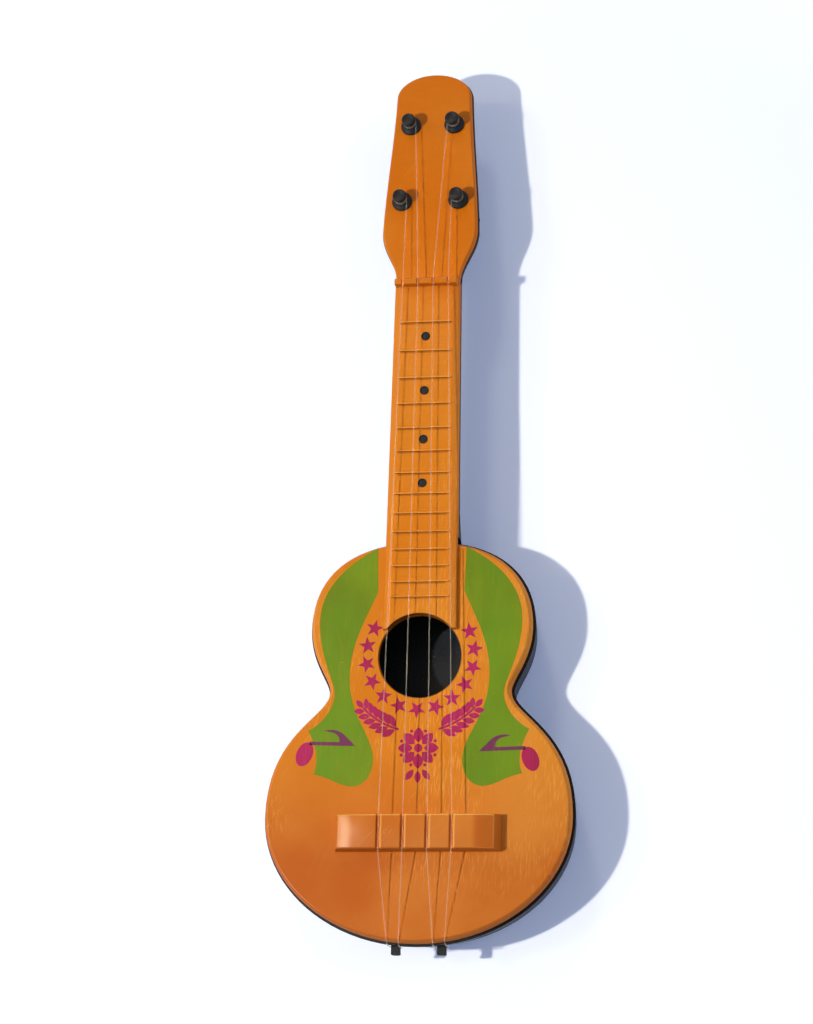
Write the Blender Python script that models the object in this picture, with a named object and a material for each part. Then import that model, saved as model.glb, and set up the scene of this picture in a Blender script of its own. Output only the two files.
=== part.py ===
"""Small four-string toy guitar in moulded plastic, lying on its back with its strings up.

Lengths are in metres. +Z is the front, the neck points along +Y, and +X is to the right
when the guitar is seen from the front with the headstock up. The sizes below are measured
up from the lower end of the body, and the empty called instrument moves the whole guitar so
that the origin lies in the middle of the back, halfway along the guitar.
"""
import math

import bmesh
import bpy
from mathutils import Matrix, Vector

# Clearances
FIT_GAP = 0.0003
SEAM_GAP = 0.0003

# Body outline, half of it: widest and narrowest places and how full the curves are
LOW_BOUT_HALF = 0.0820
LOW_BOUT_Y = 0.0670
LOW_BOUT_TAIL_FULLNESS = 0.552
FLANK_RISE = 0.0450
WAIST_HALF = 0.0492
WAIST_Y = 0.1325
WAIST_DROP = 0.0120
WAIST_RISE = 0.0060
UP_BOUT_HALF = 0.0600
UP_BOUT_Y = 0.1670
UP_BOUT_DROP = 0.0180
SHOULDER_RISE = 0.0300
SHOULDER_REACH = 0.0380
BODY_TOP_Y = 0.2140

# Body shells
BODY_DEPTH = 0.0420
RIM_HEIGHT = 0.0080
RIM_ROUND = 0.0025
BOARD_THICK = 0.0022
SHELL_WALL = 0.0024
SIDE_DRAFT = 0.0040
BACK_ROUND = 0.0080
LIP_HEIGHT = 0.0030
LIP_THICK = 0.0012
MORTISE_SHORT = 0.00005
HOLE_RADIUS = 0.0218
HOLE_Y = 0.1505

# Body screws, their bosses and the pads they pass through. Each spot is one of the outline's
# curves and a share of it.
SCREW_SPOTS = ((0, 0.60), (1, 0.22), (3, 0.05))
SCREW_SHANK_RADIUS = 0.0014
SCREW_HEAD_RADIUS = 0.0029
SCREW_HEAD_HEIGHT = 0.0016
SCREW_LENGTH = 0.0220
SCREW_SINK = 0.0004
BOSS_RADIUS = 0.0042
PAD_RADIUS = 0.0056
PAD_TOP_Z = 0.0090

# Neck and fingerboard
FINGERBOARD_PROUD = 0.0045
TONGUE_END_Y = 0.1645
NECK_HALF_AT_NUT = 0.0175
NECK_HALF_AT_BODY = 0.0190
SHOULDER_WIDTH = 0.0033
SHOULDER_FALL = 0.0015
FLANGE_HEIGHT = 0.0065
NECK_BACK_INSET = 0.0006
NECK_BACK_DEPTH = 0.0147
NECK_WALL = 0.0026
HEEL_FOOT_RUN = 0.0050
HEEL_CURVE_RUN = 0.0130
HEEL_RUN = 0.0250
NECK_END_RUN = 0.0160
HEAD_BLEND_RUN = 0.0090
HEAD_BLEND_END = 0.0180
TENON_HALF = 0.0100
TENON_PAST_SCREW = 0.0055
TENON_BITE = 0.0008
HEEL_SCREW_X = 0.0060
TONGUE_PIN_X = 0.0100
TONGUE_PIN_Y = 0.1870
PIN_RADIUS = 0.0020
PIN_REACH = 0.0015

# Frets, nut and position markers
FRET_COUNT = 14
FRET_ZERO_Y = 0.3492
FRET_SCALE = 0.3022
FRET_HALF = 0.00065
FRET_HEIGHT = 0.0008
NUT_Y = 0.3543
NUT_LENGTH = 0.0040
NUT_HEIGHT = 0.0047
NUT_ROUND = 0.0010
NOTCH_WIDTH = 0.0016
MARKED_SPACES = (2, 4, 6, 8)
MARKER_RADIUS = 0.0024
MARKER_DEPTH = 0.0018
MARKER_PROUD = 0.0002

# Headstock. Its places are shares of its length from the neck to its top.
HEAD_TILT = math.radians(3.0)
HEAD_START_Y = 0.3563
HEAD_TOP_Y = 0.4783
HEAD_WIDE_SHARE = 0.243
HEAD_DOME_SHARE = 0.885
HEAD_SCREW_SHARES = (0.194, 0.559, 0.899)
HEAD_WIDE_HALF = 0.0265
HEAD_FLARE_LOW = 0.0100
HEAD_FLARE_HIGH = 0.0120
DOME_HALF = 0.0212
HEAD_FRONT_THICK = 0.0045
HEAD_BACK_THICK = 0.0035
HEAD_EDGE = 0.0010
HEAD_ROOT = 0.0060
HEAD_SCREW_RADIUS = 0.0010
HEAD_SCREW_HEAD_RADIUS = 0.0019
HEAD_SCREW_HEAD_HEIGHT = 0.0010
HEAD_SCREW_LENGTH = 0.0060

# Tuners: distance of each from the middle, its share of the headstock's length, and the way its
# wing points at rest
TUNER_LAYOUT = (
    ("bass_low", -0.0155, 0.378, 64.0),
    ("bass_high", -0.0120, 0.743, 12.0),
    ("treble_high", 0.0120, 0.743, 128.0),
    ("treble_low", 0.0155, 0.378, -30.0),
)
TUNER_FLANGE_RADIUS = 0.0055
TUNER_FLANGE_HEIGHT = 0.0016
TUNER_SHAFT_RADIUS = 0.0026
TUNER_WAIST_RADIUS = 0.0026
TUNER_WAIST_LOW = 0.0030
TUNER_WAIST_HIGH = 0.0074
TUNER_CAP_RADIUS = 0.0035
TUNER_CAP_EDGE = 0.0006
TUNER_CAP_FLARE = 0.0004
TUNER_HEIGHT = 0.0098
TUNER_SOCKET = 0.0040
KNOB_HUB_RADIUS = 0.0044
KNOB_HUB_LENGTH = 0.0055
KNOB_HUB_EDGE = 0.0012
WING_HALF = 0.0098
WING_THICK = 0.0038
WING_HEIGHT = 0.0085
WING_LOW_EDGE = 0.0015
WING_HIGH_EDGE = 0.0022
WING_OVERLAP = 0.0006
KNOB_SCREW_RADIUS = 0.0010
KNOB_SCREW_HEAD_RADIUS = 0.0020
KNOB_SCREW_HEAD_HEIGHT = 0.0012
KNOB_SCREW_GRIP = 0.0060

# Bridge
BRIDGE_Y = 0.0573
BRIDGE_OFFSET = 0.0012
BRIDGE_HALF = 0.0452
BRIDGE_DEPTH = 0.0204
BRIDGE_HEIGHT = 0.0110
BRIDGE_END_SLOPE = 0.0040
BRIDGE_SIDE_SLOPE = 0.0012
BRIDGE_ARCH_RUN = 0.0130
BRIDGE_ARCH_FALL = 0.0010
BRIDGE_EDGE = 0.0010
BRIDGE_PIN_X = 0.0300
SLOT_WIDTH = 0.0018

# Strings
STRING_DIAMETER = 0.0007
STRING_OVER_NUT = 0.0042
STRING_OVER_BOARD = 0.0097
NUT_SPREAD = (0.0124, 0.00415)
BRIDGE_SPREAD = (0.0191, 0.0064)
WINDING_TURNS = 2.25
WINDING_PITCH = 0.00115
WINDING_START = 0.0040
STRING_TAIL = 0.0035

# Tail hooks
HOOK_X = 0.0120
HOOK_HALF = 0.0025
HOOK_HEIGHT = 0.0030
HOOK_TOP_Z = 0.0325
HOOK_REACH = 0.0039
HOOK_LIP = 0.0013
HOOK_LIP_DROP = 0.0022

# Facets
OUTLINE_STEPS = (8, 7, 5, 8)
FINE_SIDES = 36
ROUND_SIDES = 16
SMALL_SIDES = 10
PAD_SIDES = 11
WINDING_STEPS = 24
OVERLAP = 0.0010

# Sizes worked out from the ones above
SEAM_Z = BODY_DEPTH - RIM_HEIGHT
BOARD_UNDER_Z = BODY_DEPTH - BOARD_THICK
NECK_TOP_Z = BODY_DEPTH + FINGERBOARD_PROUD
NECK_JOINT_Z = NECK_TOP_Z - FLANGE_HEIGHT
HEAD_FACE_Z = NECK_JOINT_Z + HEAD_FRONT_THICK
BRIDGE_TOP_Z = BODY_DEPTH + FIT_GAP + BRIDGE_HEIGHT
STRING_RADIUS = STRING_DIAMETER / 2
STRING_NUT_Z = NECK_TOP_Z + STRING_OVER_NUT
STRING_BRIDGE_Z = BODY_DEPTH + STRING_OVER_BOARD
STRING_SEAT = STRING_RADIUS + FIT_GAP
TENON_LOW_Z = PAD_TOP_Z + FIT_GAP
TENON_HIGH_Z = BOARD_UNDER_Z - FIT_GAP
SCREW_INSET = PAD_RADIUS + BACK_ROUND + FIT_GAP
HEEL_SCREW_Y = BODY_TOP_Y - SCREW_INSET
TENON_END_Y = HEEL_SCREW_Y - TENON_PAST_SCREW
SCREW_HOLE_RADIUS = SCREW_SHANK_RADIUS + FIT_GAP
SCREW_SEAT_Z = SCREW_SINK + SCREW_HEAD_HEIGHT + FIT_GAP
SCREW_TIP_Z = SCREW_SINK + SCREW_LENGTH
INSTRUMENT_SHIFT = (HEAD_TOP_Y - HOOK_REACH) / 2


def clear_scene():
    """Take every object out of the scene that is open."""
    for obj in list(bpy.data.objects):
        bpy.data.objects.remove(obj, do_unlink=True)


def plastic(name, colour, roughness, metallic=0.0):
    """Make a plain material of one colour."""
    made = bpy.data.materials.new(name)
    made.use_nodes = True
    shader = made.node_tree.nodes["Principled BSDF"]
    shader.inputs["Base Color"].default_value = (*colour, 1.0)
    shader.inputs["Roughness"].default_value = roughness
    shader.inputs["Metallic"].default_value = metallic
    return made


def empty(name, parent=None, place=(0, 0, 0), tilt=0.0):
    """Add an empty that other objects hang from."""
    holder = bpy.data.objects.new(name, None)
    bpy.context.collection.objects.link(holder)
    holder.parent = parent
    holder.location = place
    holder.rotation_euler = (tilt, 0, 0)
    return holder


def finish(name, mesh, finish_with, parent):
    """Link a mesh as an object, shade it and give it its material."""
    mesh.shade_smooth()
    mesh.set_sharp_from_angle(angle=math.radians(32))
    obj = bpy.data.objects.new(name, mesh)
    bpy.context.collection.objects.link(obj)
    obj.parent = parent
    if finish_with is not None:
        mesh.materials.append(finish_with)
    return obj


def loft_mesh(name, rings):
    """Join rings of equally many points, one after the other, and close both ends."""
    shape = bmesh.new()
    rows = [[shape.verts.new(point) for point in ring] for ring in rings]
    count = len(rows[0])
    for row, above in zip(rows, rows[1:]):
        for i in range(count):
            j = (i + 1) % count
            shape.faces.new((row[i], row[j], above[j], above[i]))
    shape.faces.new(list(reversed(rows[0])))
    shape.faces.new(rows[-1])
    bmesh.ops.remove_doubles(shape, verts=shape.verts, dist=1e-6)
    bmesh.ops.recalc_face_normals(shape, faces=shape.faces)
    mesh = bpy.data.meshes.new(name)
    shape.to_mesh(mesh)
    shape.free()
    return mesh


def loft(name, rings, finish_with, parent):
    """Make a solid object through rings of points."""
    return finish(name, loft_mesh(name, rings), finish_with, parent)


def circle(radius, z, sides, centre=(0.0, 0.0)):
    """Points round a circle at one height, counted against the clock."""
    points = []
    for i in range(sides):
        angle = 2 * math.pi * i / sides
        x = centre[0] + radius * math.cos(angle)
        y = centre[1] + radius * math.sin(angle)
        points.append((x, y, z))
    return points


def turned(name, profile, sides, finish_with, parent, centre=(0.0, 0.0)):
    """Turn a profile of (radius, height) pairs about a line along Z."""
    rings = [circle(radius, z, sides, centre) for radius, z in profile]
    return loft(name, rings, finish_with, parent)


def box(name, low, high, finish_with, parent):
    """A plain block between two corners."""
    rings = []
    for z in (low[2], high[2]):
        rings.append([(low[0], low[1], z), (high[0], low[1], z), (high[0], high[1], z), (low[0], high[1], z)])
    return loft(name, rings, finish_with, parent)


def as_tool(obj):
    """Mark an object as one that only shapes others."""
    obj.hide_render = True
    obj.display_type = "WIRE"
    return obj


def joined_tool(name, pieces, parent):
    """Put several separate tool bodies into one object."""
    shape = bmesh.new()
    for piece in pieces:
        shape.from_mesh(piece.data)
        bpy.data.objects.remove(piece, do_unlink=True)
    mesh = bpy.data.meshes.new(name)
    shape.to_mesh(mesh)
    shape.free()
    return as_tool(finish(name, mesh, None, parent))


def combine(obj, tool, operation):
    """Join a tool to an object, or cut it out."""
    modifier = obj.modifiers.new(operation.lower() + "_" + tool.name, "BOOLEAN")
    modifier.operation = operation
    modifier.solver = "EXACT"
    modifier.object = as_tool(tool)


def cubic(p0, p1, p2, p3, t):
    """Point and direction on a cubic curve."""
    a, b, c, d = (Vector(p) for p in (p0, p1, p2, p3))
    s = 1 - t
    place = a * s ** 3 + b * 3 * s * s * t + c * 3 * s * t * t + d * t ** 3
    along = (b - a) * 3 * s * s + (c - b) * 6 * s * t + (d - c) * 3 * t * t
    return place, along


def body_stretches():
    """The four curves of the body's right half, from the tail to the top."""
    tail = (0.0, 0.0)
    low = (LOW_BOUT_HALF, LOW_BOUT_Y)
    waist = (WAIST_HALF, WAIST_Y)
    high = (UP_BOUT_HALF, UP_BOUT_Y)
    top = (0.0, BODY_TOP_Y)
    full = LOW_BOUT_TAIL_FULLNESS
    return (
        (tail, (LOW_BOUT_HALF * full, 0.0), (LOW_BOUT_HALF, LOW_BOUT_Y * (1 - full)), low),
        (low, (LOW_BOUT_HALF, LOW_BOUT_Y + FLANK_RISE), (WAIST_HALF, WAIST_Y - WAIST_DROP), waist),
        (waist, (WAIST_HALF, WAIST_Y + WAIST_RISE), (UP_BOUT_HALF, UP_BOUT_Y - UP_BOUT_DROP), high),
        (high, (UP_BOUT_HALF, UP_BOUT_Y + SHOULDER_RISE), (SHOULDER_REACH, BODY_TOP_Y), top),
    )


def half_line(stretches, steps, inset):
    """Points along joined curves, moved inwards by the inset."""
    points = []
    for curve, count in zip(stretches, steps):
        for i in range(count):
            place, along = cubic(*curve, i / count)
            inward = Vector((-along.y, along.x)).normalized()
            points.append(place + inward * inset)
    place, along = cubic(*stretches[-1], 1.0)
    points.append(place + Vector((-along.y, along.x)).normalized() * inset)
    return points


def body_ring(inset, z):
    """The body's whole outline at one height, against the clock."""
    right = half_line(body_stretches(), OUTLINE_STEPS, inset)
    ring = [(p.x, p.y, z) for p in right]
    ring += [(-p.x, p.y, z) for p in reversed(right[1:-1])]
    return ring


def side_inset(z):
    """How far the black side lies inside the outline at a height below the seam."""
    return SIDE_DRAFT * (SEAM_Z - z) / SEAM_Z


def tail_y(x):
    """Where the body's lower edge is, at a distance from the middle."""
    line = half_line(body_stretches(), OUTLINE_STEPS, 0.0)
    for low, high in zip(line, line[1:]):
        if low.x <= abs(x) <= high.x:
            return low.y + (high.y - low.y) * (abs(x) - low.x) / (high.x - low.x)
    return 0.0


def quarter(steps):
    """Angles from flat to upright, in equal steps."""
    return [math.pi / 2 * i / steps for i in range(steps + 1)]


def screw_places():
    """Middle of each body screw, inside the outline by the same distance all round."""
    places = []
    for number, share in SCREW_SPOTS:
        place, along = cubic(*body_stretches()[number], share)
        middle = place + Vector((-along.y, along.x)).normalized() * SCREW_INSET
        places += [(-middle.x, middle.y), (middle.x, middle.y)]
    return places


def heel_screw_places():
    """Middle of each screw that holds the neck's tenon."""
    return [(-HEEL_SCREW_X, HEEL_SCREW_Y), (HEEL_SCREW_X, HEEL_SCREW_Y)]


def front_shell(orange, parent):
    """Soundboard with its rounded rim, lip, screw bosses and sound hole."""
    lip_outer = SHELL_WALL + side_inset(SEAM_Z - LIP_HEIGHT) + FIT_GAP
    lip_inner = lip_outer + LIP_THICK
    lip_z = SEAM_Z - LIP_HEIGHT
    rim_z = SEAM_Z + SEAM_GAP
    rings = [body_ring(lip_inner, BOARD_UNDER_Z), body_ring(lip_inner, lip_z)]
    rings += [body_ring(lip_outer, lip_z), body_ring(lip_outer, rim_z), body_ring(0.0, rim_z)]
    for angle in quarter(3):
        inset = RIM_ROUND * (1 - math.cos(angle))
        rings.append(body_ring(inset, BODY_DEPTH - RIM_ROUND + RIM_ROUND * math.sin(angle)))
    shell = loft("front_shell", rings, orange, parent)

    low = PAD_TOP_Z + FIT_GAP
    bosses = []
    for x, y in screw_places():
        profile = ((SCREW_HOLE_RADIUS, SCREW_TIP_Z + OVERLAP), (SCREW_HOLE_RADIUS, low), (BOSS_RADIUS, low),
                   (BOSS_RADIUS, BOARD_UNDER_Z + OVERLAP))
        bosses.append(turned("boss", profile, SMALL_SIDES, None, parent, (x, y)))
    combine(shell, joined_tool("front_bosses", bosses, parent), "UNION")

    hole = ((HOLE_RADIUS, BOARD_UNDER_Z - OVERLAP), (HOLE_RADIUS, BODY_DEPTH + OVERLAP))
    cuts = [turned("sound_hole_cut", hole, FINE_SIDES, None, parent, (0.0, HOLE_Y))]
    for x, y in pin_places():
        radius = PIN_RADIUS + FIT_GAP
        profile = ((radius, BOARD_UNDER_Z - OVERLAP), (radius, BODY_DEPTH + OVERLAP))
        cuts.append(turned("pin_hole_cut", profile, SMALL_SIDES, None, parent, (x, y)))
    mortise_top = BOARD_UNDER_Z - MORTISE_SHORT
    low_corner = (-TENON_HALF - FIT_GAP, TENON_END_Y - FIT_GAP, lip_z - OVERLAP)
    high_corner = (TENON_HALF + FIT_GAP, BODY_TOP_Y + OVERLAP, mortise_top)
    cuts.append(box("front_mortise", low_corner, high_corner, None, parent))
    combine(shell, joined_tool("front_cuts", cuts, parent), "DIFFERENCE")


def back_shell(black, parent):
    """Black tub of the body: flat back, drafted sides, screw pads and the two tail hooks."""
    rings = []
    for angle in quarter(3):
        z = BACK_ROUND * (1 - math.cos(angle))
        rings.append(body_ring(side_inset(z) + BACK_ROUND * (1 - math.sin(angle)), z))
    rings += [body_ring(0.0, SEAM_Z), body_ring(SHELL_WALL, SEAM_Z)]
    inner_round = BACK_ROUND - SHELL_WALL
    for angle in reversed(quarter(3)):
        z = BACK_ROUND - inner_round * math.cos(angle)
        rings.append(body_ring(side_inset(z) + BACK_ROUND - inner_round * math.sin(angle), z))
    shell = loft("back_shell", rings, black, parent)

    for x, y in screw_places() + heel_screw_places():
        profile = ((PAD_RADIUS, SHELL_WALL / 2), (PAD_RADIUS, PAD_TOP_Z))
        combine(shell, turned("screw_pad", profile, PAD_SIDES, None, parent, (x, y)), "UNION")

    for side in (-1, 1):
        combine(shell, tail_hook(side, parent), "UNION")

    cuts = []
    for x, y in screw_places() + heel_screw_places():
        bore = ((SCREW_HEAD_RADIUS + FIT_GAP, -OVERLAP), (SCREW_HEAD_RADIUS + FIT_GAP, SCREW_SEAT_Z),
                (SCREW_HOLE_RADIUS, SCREW_SEAT_Z), (SCREW_HOLE_RADIUS, PAD_TOP_Z + OVERLAP))
        cuts.append(turned("screw_bore", bore, SMALL_SIDES, None, parent, (x, y)))
    low_corner = (-TENON_HALF - FIT_GAP, TENON_END_Y - FIT_GAP, PAD_TOP_Z)
    high_corner = (TENON_HALF + FIT_GAP, BODY_TOP_Y + OVERLAP, SEAM_Z + OVERLAP)
    combine(shell, joined_tool("back_cuts", cuts, parent), "DIFFERENCE")
    combine(shell, box("back_mortise", low_corner, high_corner, None, parent), "DIFFERENCE")


def hook_centre(side):
    """How far across the body a tail hook stands."""
    return side * HOOK_X + BRIDGE_OFFSET


def tail_hook(side, parent):
    """Tongue with a half-round underside and a lip that keeps the string loop on."""
    x = hook_centre(side)
    root_y = tail_y(x) + side_inset(HOOK_TOP_Z - HOOK_HEIGHT) + SHELL_WALL / 2
    lip_y = HOOK_LIP - HOOK_REACH
    rings = []
    for y, drop in ((root_y, 0.0), (lip_y, 0.0), (lip_y, HOOK_LIP_DROP), (-HOOK_REACH, HOOK_LIP_DROP)):
        ring = [(x - HOOK_HALF, y, HOOK_TOP_Z), (x + HOOK_HALF, y, HOOK_TOP_Z)]
        for i in range(7):
            angle = math.pi * i / 6
            z = HOOK_TOP_Z - HOOK_HEIGHT + HOOK_HALF - HOOK_HALF * math.sin(angle) - drop * math.sin(angle)
            ring.append((x + HOOK_HALF * math.cos(angle), y, min(z, HOOK_TOP_Z - FIT_GAP)))
        rings.append(ring)
    name = "hook_bass" if side < 0 else "hook_treble"
    return loft(name, rings, None, parent)


def neck_half(y):
    """Half the neck's width at a place along it."""
    share = (NUT_Y - y) / (NUT_Y - BODY_TOP_Y)
    return NECK_HALF_AT_NUT + (NECK_HALF_AT_BODY - NECK_HALF_AT_NUT) * share


def joint_z(y):
    """Height of the joint between the orange front and the black back of the neck."""
    return NECK_JOINT_Z - max(0.0, y - HEAD_START_Y) * math.tan(HEAD_TILT)


def head_matrix():
    """From the headstock's own frame, whose Z=0 is its front face, to the guitar's."""
    shift = Matrix.Translation((0.0, HEAD_START_Y, HEAD_FACE_Z))
    return shift @ Matrix.Rotation(-HEAD_TILT, 4, "X")


def along_head(share):
    """Distance along the tilted headstock of a share of its length."""
    return share * (HEAD_TOP_Y - HEAD_START_Y) / math.cos(HEAD_TILT)


def head_ring(inset, z, root_length):
    """The headstock's outline in its own frame, lengthened into the neck by its root."""
    root = (NECK_HALF_AT_NUT - FIT_GAP, 0.0)
    wide = (HEAD_WIDE_HALF, along_head(HEAD_WIDE_SHARE))
    dome = (DOME_HALF, along_head(HEAD_DOME_SHARE))
    peak = (0.0, along_head(1.0))
    third = (wide[1] - dome[1]) / 3
    lean = (wide[0] - dome[0]) / 3
    full = LOW_BOUT_TAIL_FULLNESS
    curves = (
        (root, (root[0], HEAD_FLARE_LOW), (wide[0], wide[1] - HEAD_FLARE_HIGH), wide),
        (wide, (wide[0] - lean / 2, wide[1] - third), (dome[0] + lean / 2, dome[1] + third), dome),
        (dome, (dome[0], dome[1] + (peak[1] - dome[1]) * full), (dome[0] * full, peak[1]), peak),
    )
    right = half_line(curves, (7, 3, 7), inset)
    right.insert(0, Vector((right[0].x, -root_length)))
    ring = [(p.x, p.y, z) for p in right]
    ring += [(-p.x, p.y, z) for p in reversed(right[:-1])]
    return ring


def head_plate(name, levels, root_length, parent):
    """A plate of the headstock's outline through (inset, height) levels."""
    matrix = head_matrix()
    rings = []
    for inset, z in levels:
        rings.append([matrix @ Vector(point) for point in head_ring(inset, z, root_length)])
    return loft(name, rings, None, parent)


def pin_places():
    """Where the moulded pins of the tongue and the bridge pass through the soundboard."""
    tongue = [(side * TONGUE_PIN_X, TONGUE_PIN_Y) for side in (-1, 1)]
    bridge = [(side * BRIDGE_PIN_X + BRIDGE_OFFSET, BRIDGE_Y) for side in (-1, 1)]
    return tongue + bridge


def moulded_pins(name, places, top_z, parent):
    """Pins that reach from a part down through the soundboard."""
    pins = []
    for x, y in places:
        profile = ((PIN_RADIUS, BOARD_UNDER_Z - PIN_REACH), (PIN_RADIUS, top_z))
        pins.append(turned("pin", profile, SMALL_SIDES, None, parent, (x, y)))
    return joined_tool(name, pins, parent)


def fret_y(number):
    """Place of a fret, by equal temperament."""
    return FRET_ZERO_Y - FRET_SCALE * (1 - 2 ** (-number / 12))


def fret_bars(parent):
    """All the moulded frets as bars with rounded tops."""
    bars = []
    for number in range(1, FRET_COUNT + 1):
        middle = fret_y(number)
        half = neck_half(middle) - SHOULDER_WIDTH - FIT_GAP
        section = [(-1.0, -1.0), (1.0, -1.0), (1.0, 0.0), (0.5, 0.8), (0.0, 1.0), (-0.5, 0.8), (-1.0, 0.0)]
        rings = []
        for x in (-half, half):
            rings.append([(x, middle + u * FRET_HALF, NECK_TOP_Z + v * FRET_HEIGHT) for u, v in section])
        bars.append(loft("fret", rings, None, parent))
    return joined_tool("fret_bars", bars, parent)


def notch_places():
    """Where the strings cross the nut, from bass to treble."""
    outer, inner = NUT_SPREAD
    return (-outer, -inner, inner, outer)


def slot_places():
    """Where the strings cross the bridge, from bass to treble."""
    outer, inner = BRIDGE_SPREAD
    return tuple(BRIDGE_OFFSET + x for x in (-outer, -inner, inner, outer))


def nut_ridge(parent):
    """Ridge across the end of the fingerboard, rounded towards the headstock."""
    low = NUT_Y - NUT_LENGTH / 2
    high = NUT_Y + NUT_LENGTH / 2
    top = NECK_TOP_Z + NUT_HEIGHT
    base = NECK_JOINT_Z + OVERLAP
    half = neck_half(NUT_Y) - 2 * FIT_GAP
    section = [(low, base), (high, base), (high, top - 2 * NUT_ROUND), (high - NUT_ROUND, top)]
    section += [(low + NUT_ROUND / 2, top), (low, top - NUT_ROUND / 2)]
    rings = [[(x, y, z) for y, z in section] for x in (-half, half)]
    return loft("nut_ridge", rings, None, parent)


def neck_front(orange, parent):
    """Orange moulding of fingerboard, frets, nut and headstock face."""
    step_y = BODY_TOP_Y + FIT_GAP
    board_z = BODY_DEPTH + FIT_GAP
    rings = []
    for y, low in ((TONGUE_END_Y, board_z), (step_y, board_z), (step_y, NECK_JOINT_Z), (NUT_Y, NECK_JOINT_Z)):
        half = neck_half(y)
        flat = half - SHOULDER_WIDTH
        shoulder = NECK_TOP_Z - SHOULDER_FALL
        right = [(half, y, low), (half, y, board_z), (half, y, shoulder), (flat, y, NECK_TOP_Z)]
        rings.append(right + [(-x, place, z) for x, place, z in reversed(right)])
    moulding = loft("neck_front", rings, orange, parent)

    levels = ((0.0, -HEAD_FRONT_THICK), (0.0, -HEAD_EDGE), (HEAD_EDGE * 0.3, -HEAD_EDGE * 0.3), (HEAD_EDGE, 0.0))
    combine(moulding, head_plate("head_front_plate", levels, HEAD_ROOT, parent), "UNION")
    combine(moulding, nut_ridge(parent), "UNION")
    combine(moulding, fret_bars(parent), "UNION")
    tongue_pins = moulded_pins("tongue_pins", pin_places()[:2], board_z + OVERLAP, parent)
    combine(moulding, tongue_pins, "UNION")

    cuts = []
    end_cut = ((HOLE_RADIUS + FIT_GAP, BODY_DEPTH - OVERLAP), (HOLE_RADIUS + FIT_GAP, NECK_TOP_Z + OVERLAP))
    cuts.append(turned("tongue_end_cut", end_cut, FINE_SIDES, None, parent, (0.0, HOLE_Y)))
    for x in notch_places():
        floor = STRING_NUT_Z - STRING_SEAT
        low_corner = (x - NOTCH_WIDTH / 2, NUT_Y - NUT_LENGTH, floor)
        high_corner = (x + NOTCH_WIDTH / 2, NUT_Y + NUT_LENGTH, NECK_TOP_Z + NUT_HEIGHT + OVERLAP)
        cuts.append(box("notch", low_corner, high_corner, None, parent))
    for space in MARKED_SPACES:
        radius = MARKER_RADIUS + FIT_GAP
        profile = ((radius, NECK_TOP_Z - MARKER_DEPTH), (radius, NECK_TOP_Z + OVERLAP))
        cuts.append(turned("marker_cut", profile, SMALL_SIDES, None, parent, (0.0, marker_y(space))))
    combine(moulding, joined_tool("neck_front_cuts", cuts, parent), "DIFFERENCE")

    cut_head_holes(moulding, "head_front_holes", -HEAD_FRONT_THICK - OVERLAP, OVERLAP, parent)
    combine(moulding, head_screw_bores("head_front_bores", parent), "DIFFERENCE")


def cut_head_holes(obj, name, low, high, parent):
    """Cut the four tuner holes through a headstock plate."""
    matrix = head_matrix()
    tools = []
    for _, x, share, _ in TUNER_LAYOUT:
        radius = TUNER_SHAFT_RADIUS + FIT_GAP
        rings = []
        for z in (low, high):
            ring = circle(radius, z, ROUND_SIDES, (x, along_head(share)))
            rings.append([matrix @ Vector(point) for point in ring])
        tools.append(loft("tuner_hole", rings, None, parent))
    combine(obj, joined_tool(name, tools, parent), "DIFFERENCE")


def head_screw_bores(name, parent):
    """Bores and head recesses for the screws that hold the headstock's two plates together."""
    matrix = head_matrix()
    floor = -HEAD_FRONT_THICK - FIT_GAP - HEAD_BACK_THICK
    seat = floor + SCREW_SINK + HEAD_SCREW_HEAD_HEIGHT + FIT_GAP
    tip = floor + SCREW_SINK + HEAD_SCREW_LENGTH + FIT_GAP
    wide = HEAD_SCREW_HEAD_RADIUS + FIT_GAP
    slim = HEAD_SCREW_RADIUS + FIT_GAP
    tools = []
    for share in HEAD_SCREW_SHARES:
        rings = []
        for radius, z in ((wide, floor - NECK_BACK_DEPTH), (wide, seat), (slim, seat), (slim, tip)):
            ring = circle(radius, z, SMALL_SIDES, (0.0, along_head(share)))
            rings.append([matrix @ Vector(point) for point in ring])
        tools.append(loft("head_bore", rings, None, parent))
    return joined_tool(name, tools, parent)


def back_section(y, half, top, depth, squareness, rounded_points=11):
    """A section of the neck's black back: flat on top, rounded below."""
    power = 2.0 / squareness
    ring = []
    for i in range(rounded_points):
        angle = math.pi * i / (rounded_points - 1)
        side = math.copysign(abs(math.cos(angle)) ** power, math.cos(angle))
        ring.append(Vector((half * side, y, top - depth * abs(math.sin(angle)) ** power)))
    return ring


def heel_stations():
    """Depth of the neck's back along it, as (place, depth, squareness)."""
    heel_depth = NECK_JOINT_Z - FIT_GAP - TENON_LOW_Z
    return (
        (BODY_TOP_Y + FIT_GAP, heel_depth, 2.6),
        (BODY_TOP_Y + HEEL_FOOT_RUN, heel_depth * 0.86, 2.5),
        (BODY_TOP_Y + HEEL_CURVE_RUN, heel_depth * 0.62, 2.4),
        (BODY_TOP_Y + HEEL_RUN, NECK_BACK_DEPTH, 2.3),
        (NUT_Y - NECK_END_RUN, NECK_BACK_DEPTH * 0.92, 2.3),
        (HEAD_START_Y, NECK_BACK_DEPTH * 0.80, 2.4),
        (HEAD_START_Y + HEAD_BLEND_RUN, NECK_BACK_DEPTH * 0.50, 2.6),
        (HEAD_START_Y + HEAD_BLEND_END, HEAD_BACK_THICK * 0.8, 3.0),
    )


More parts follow.
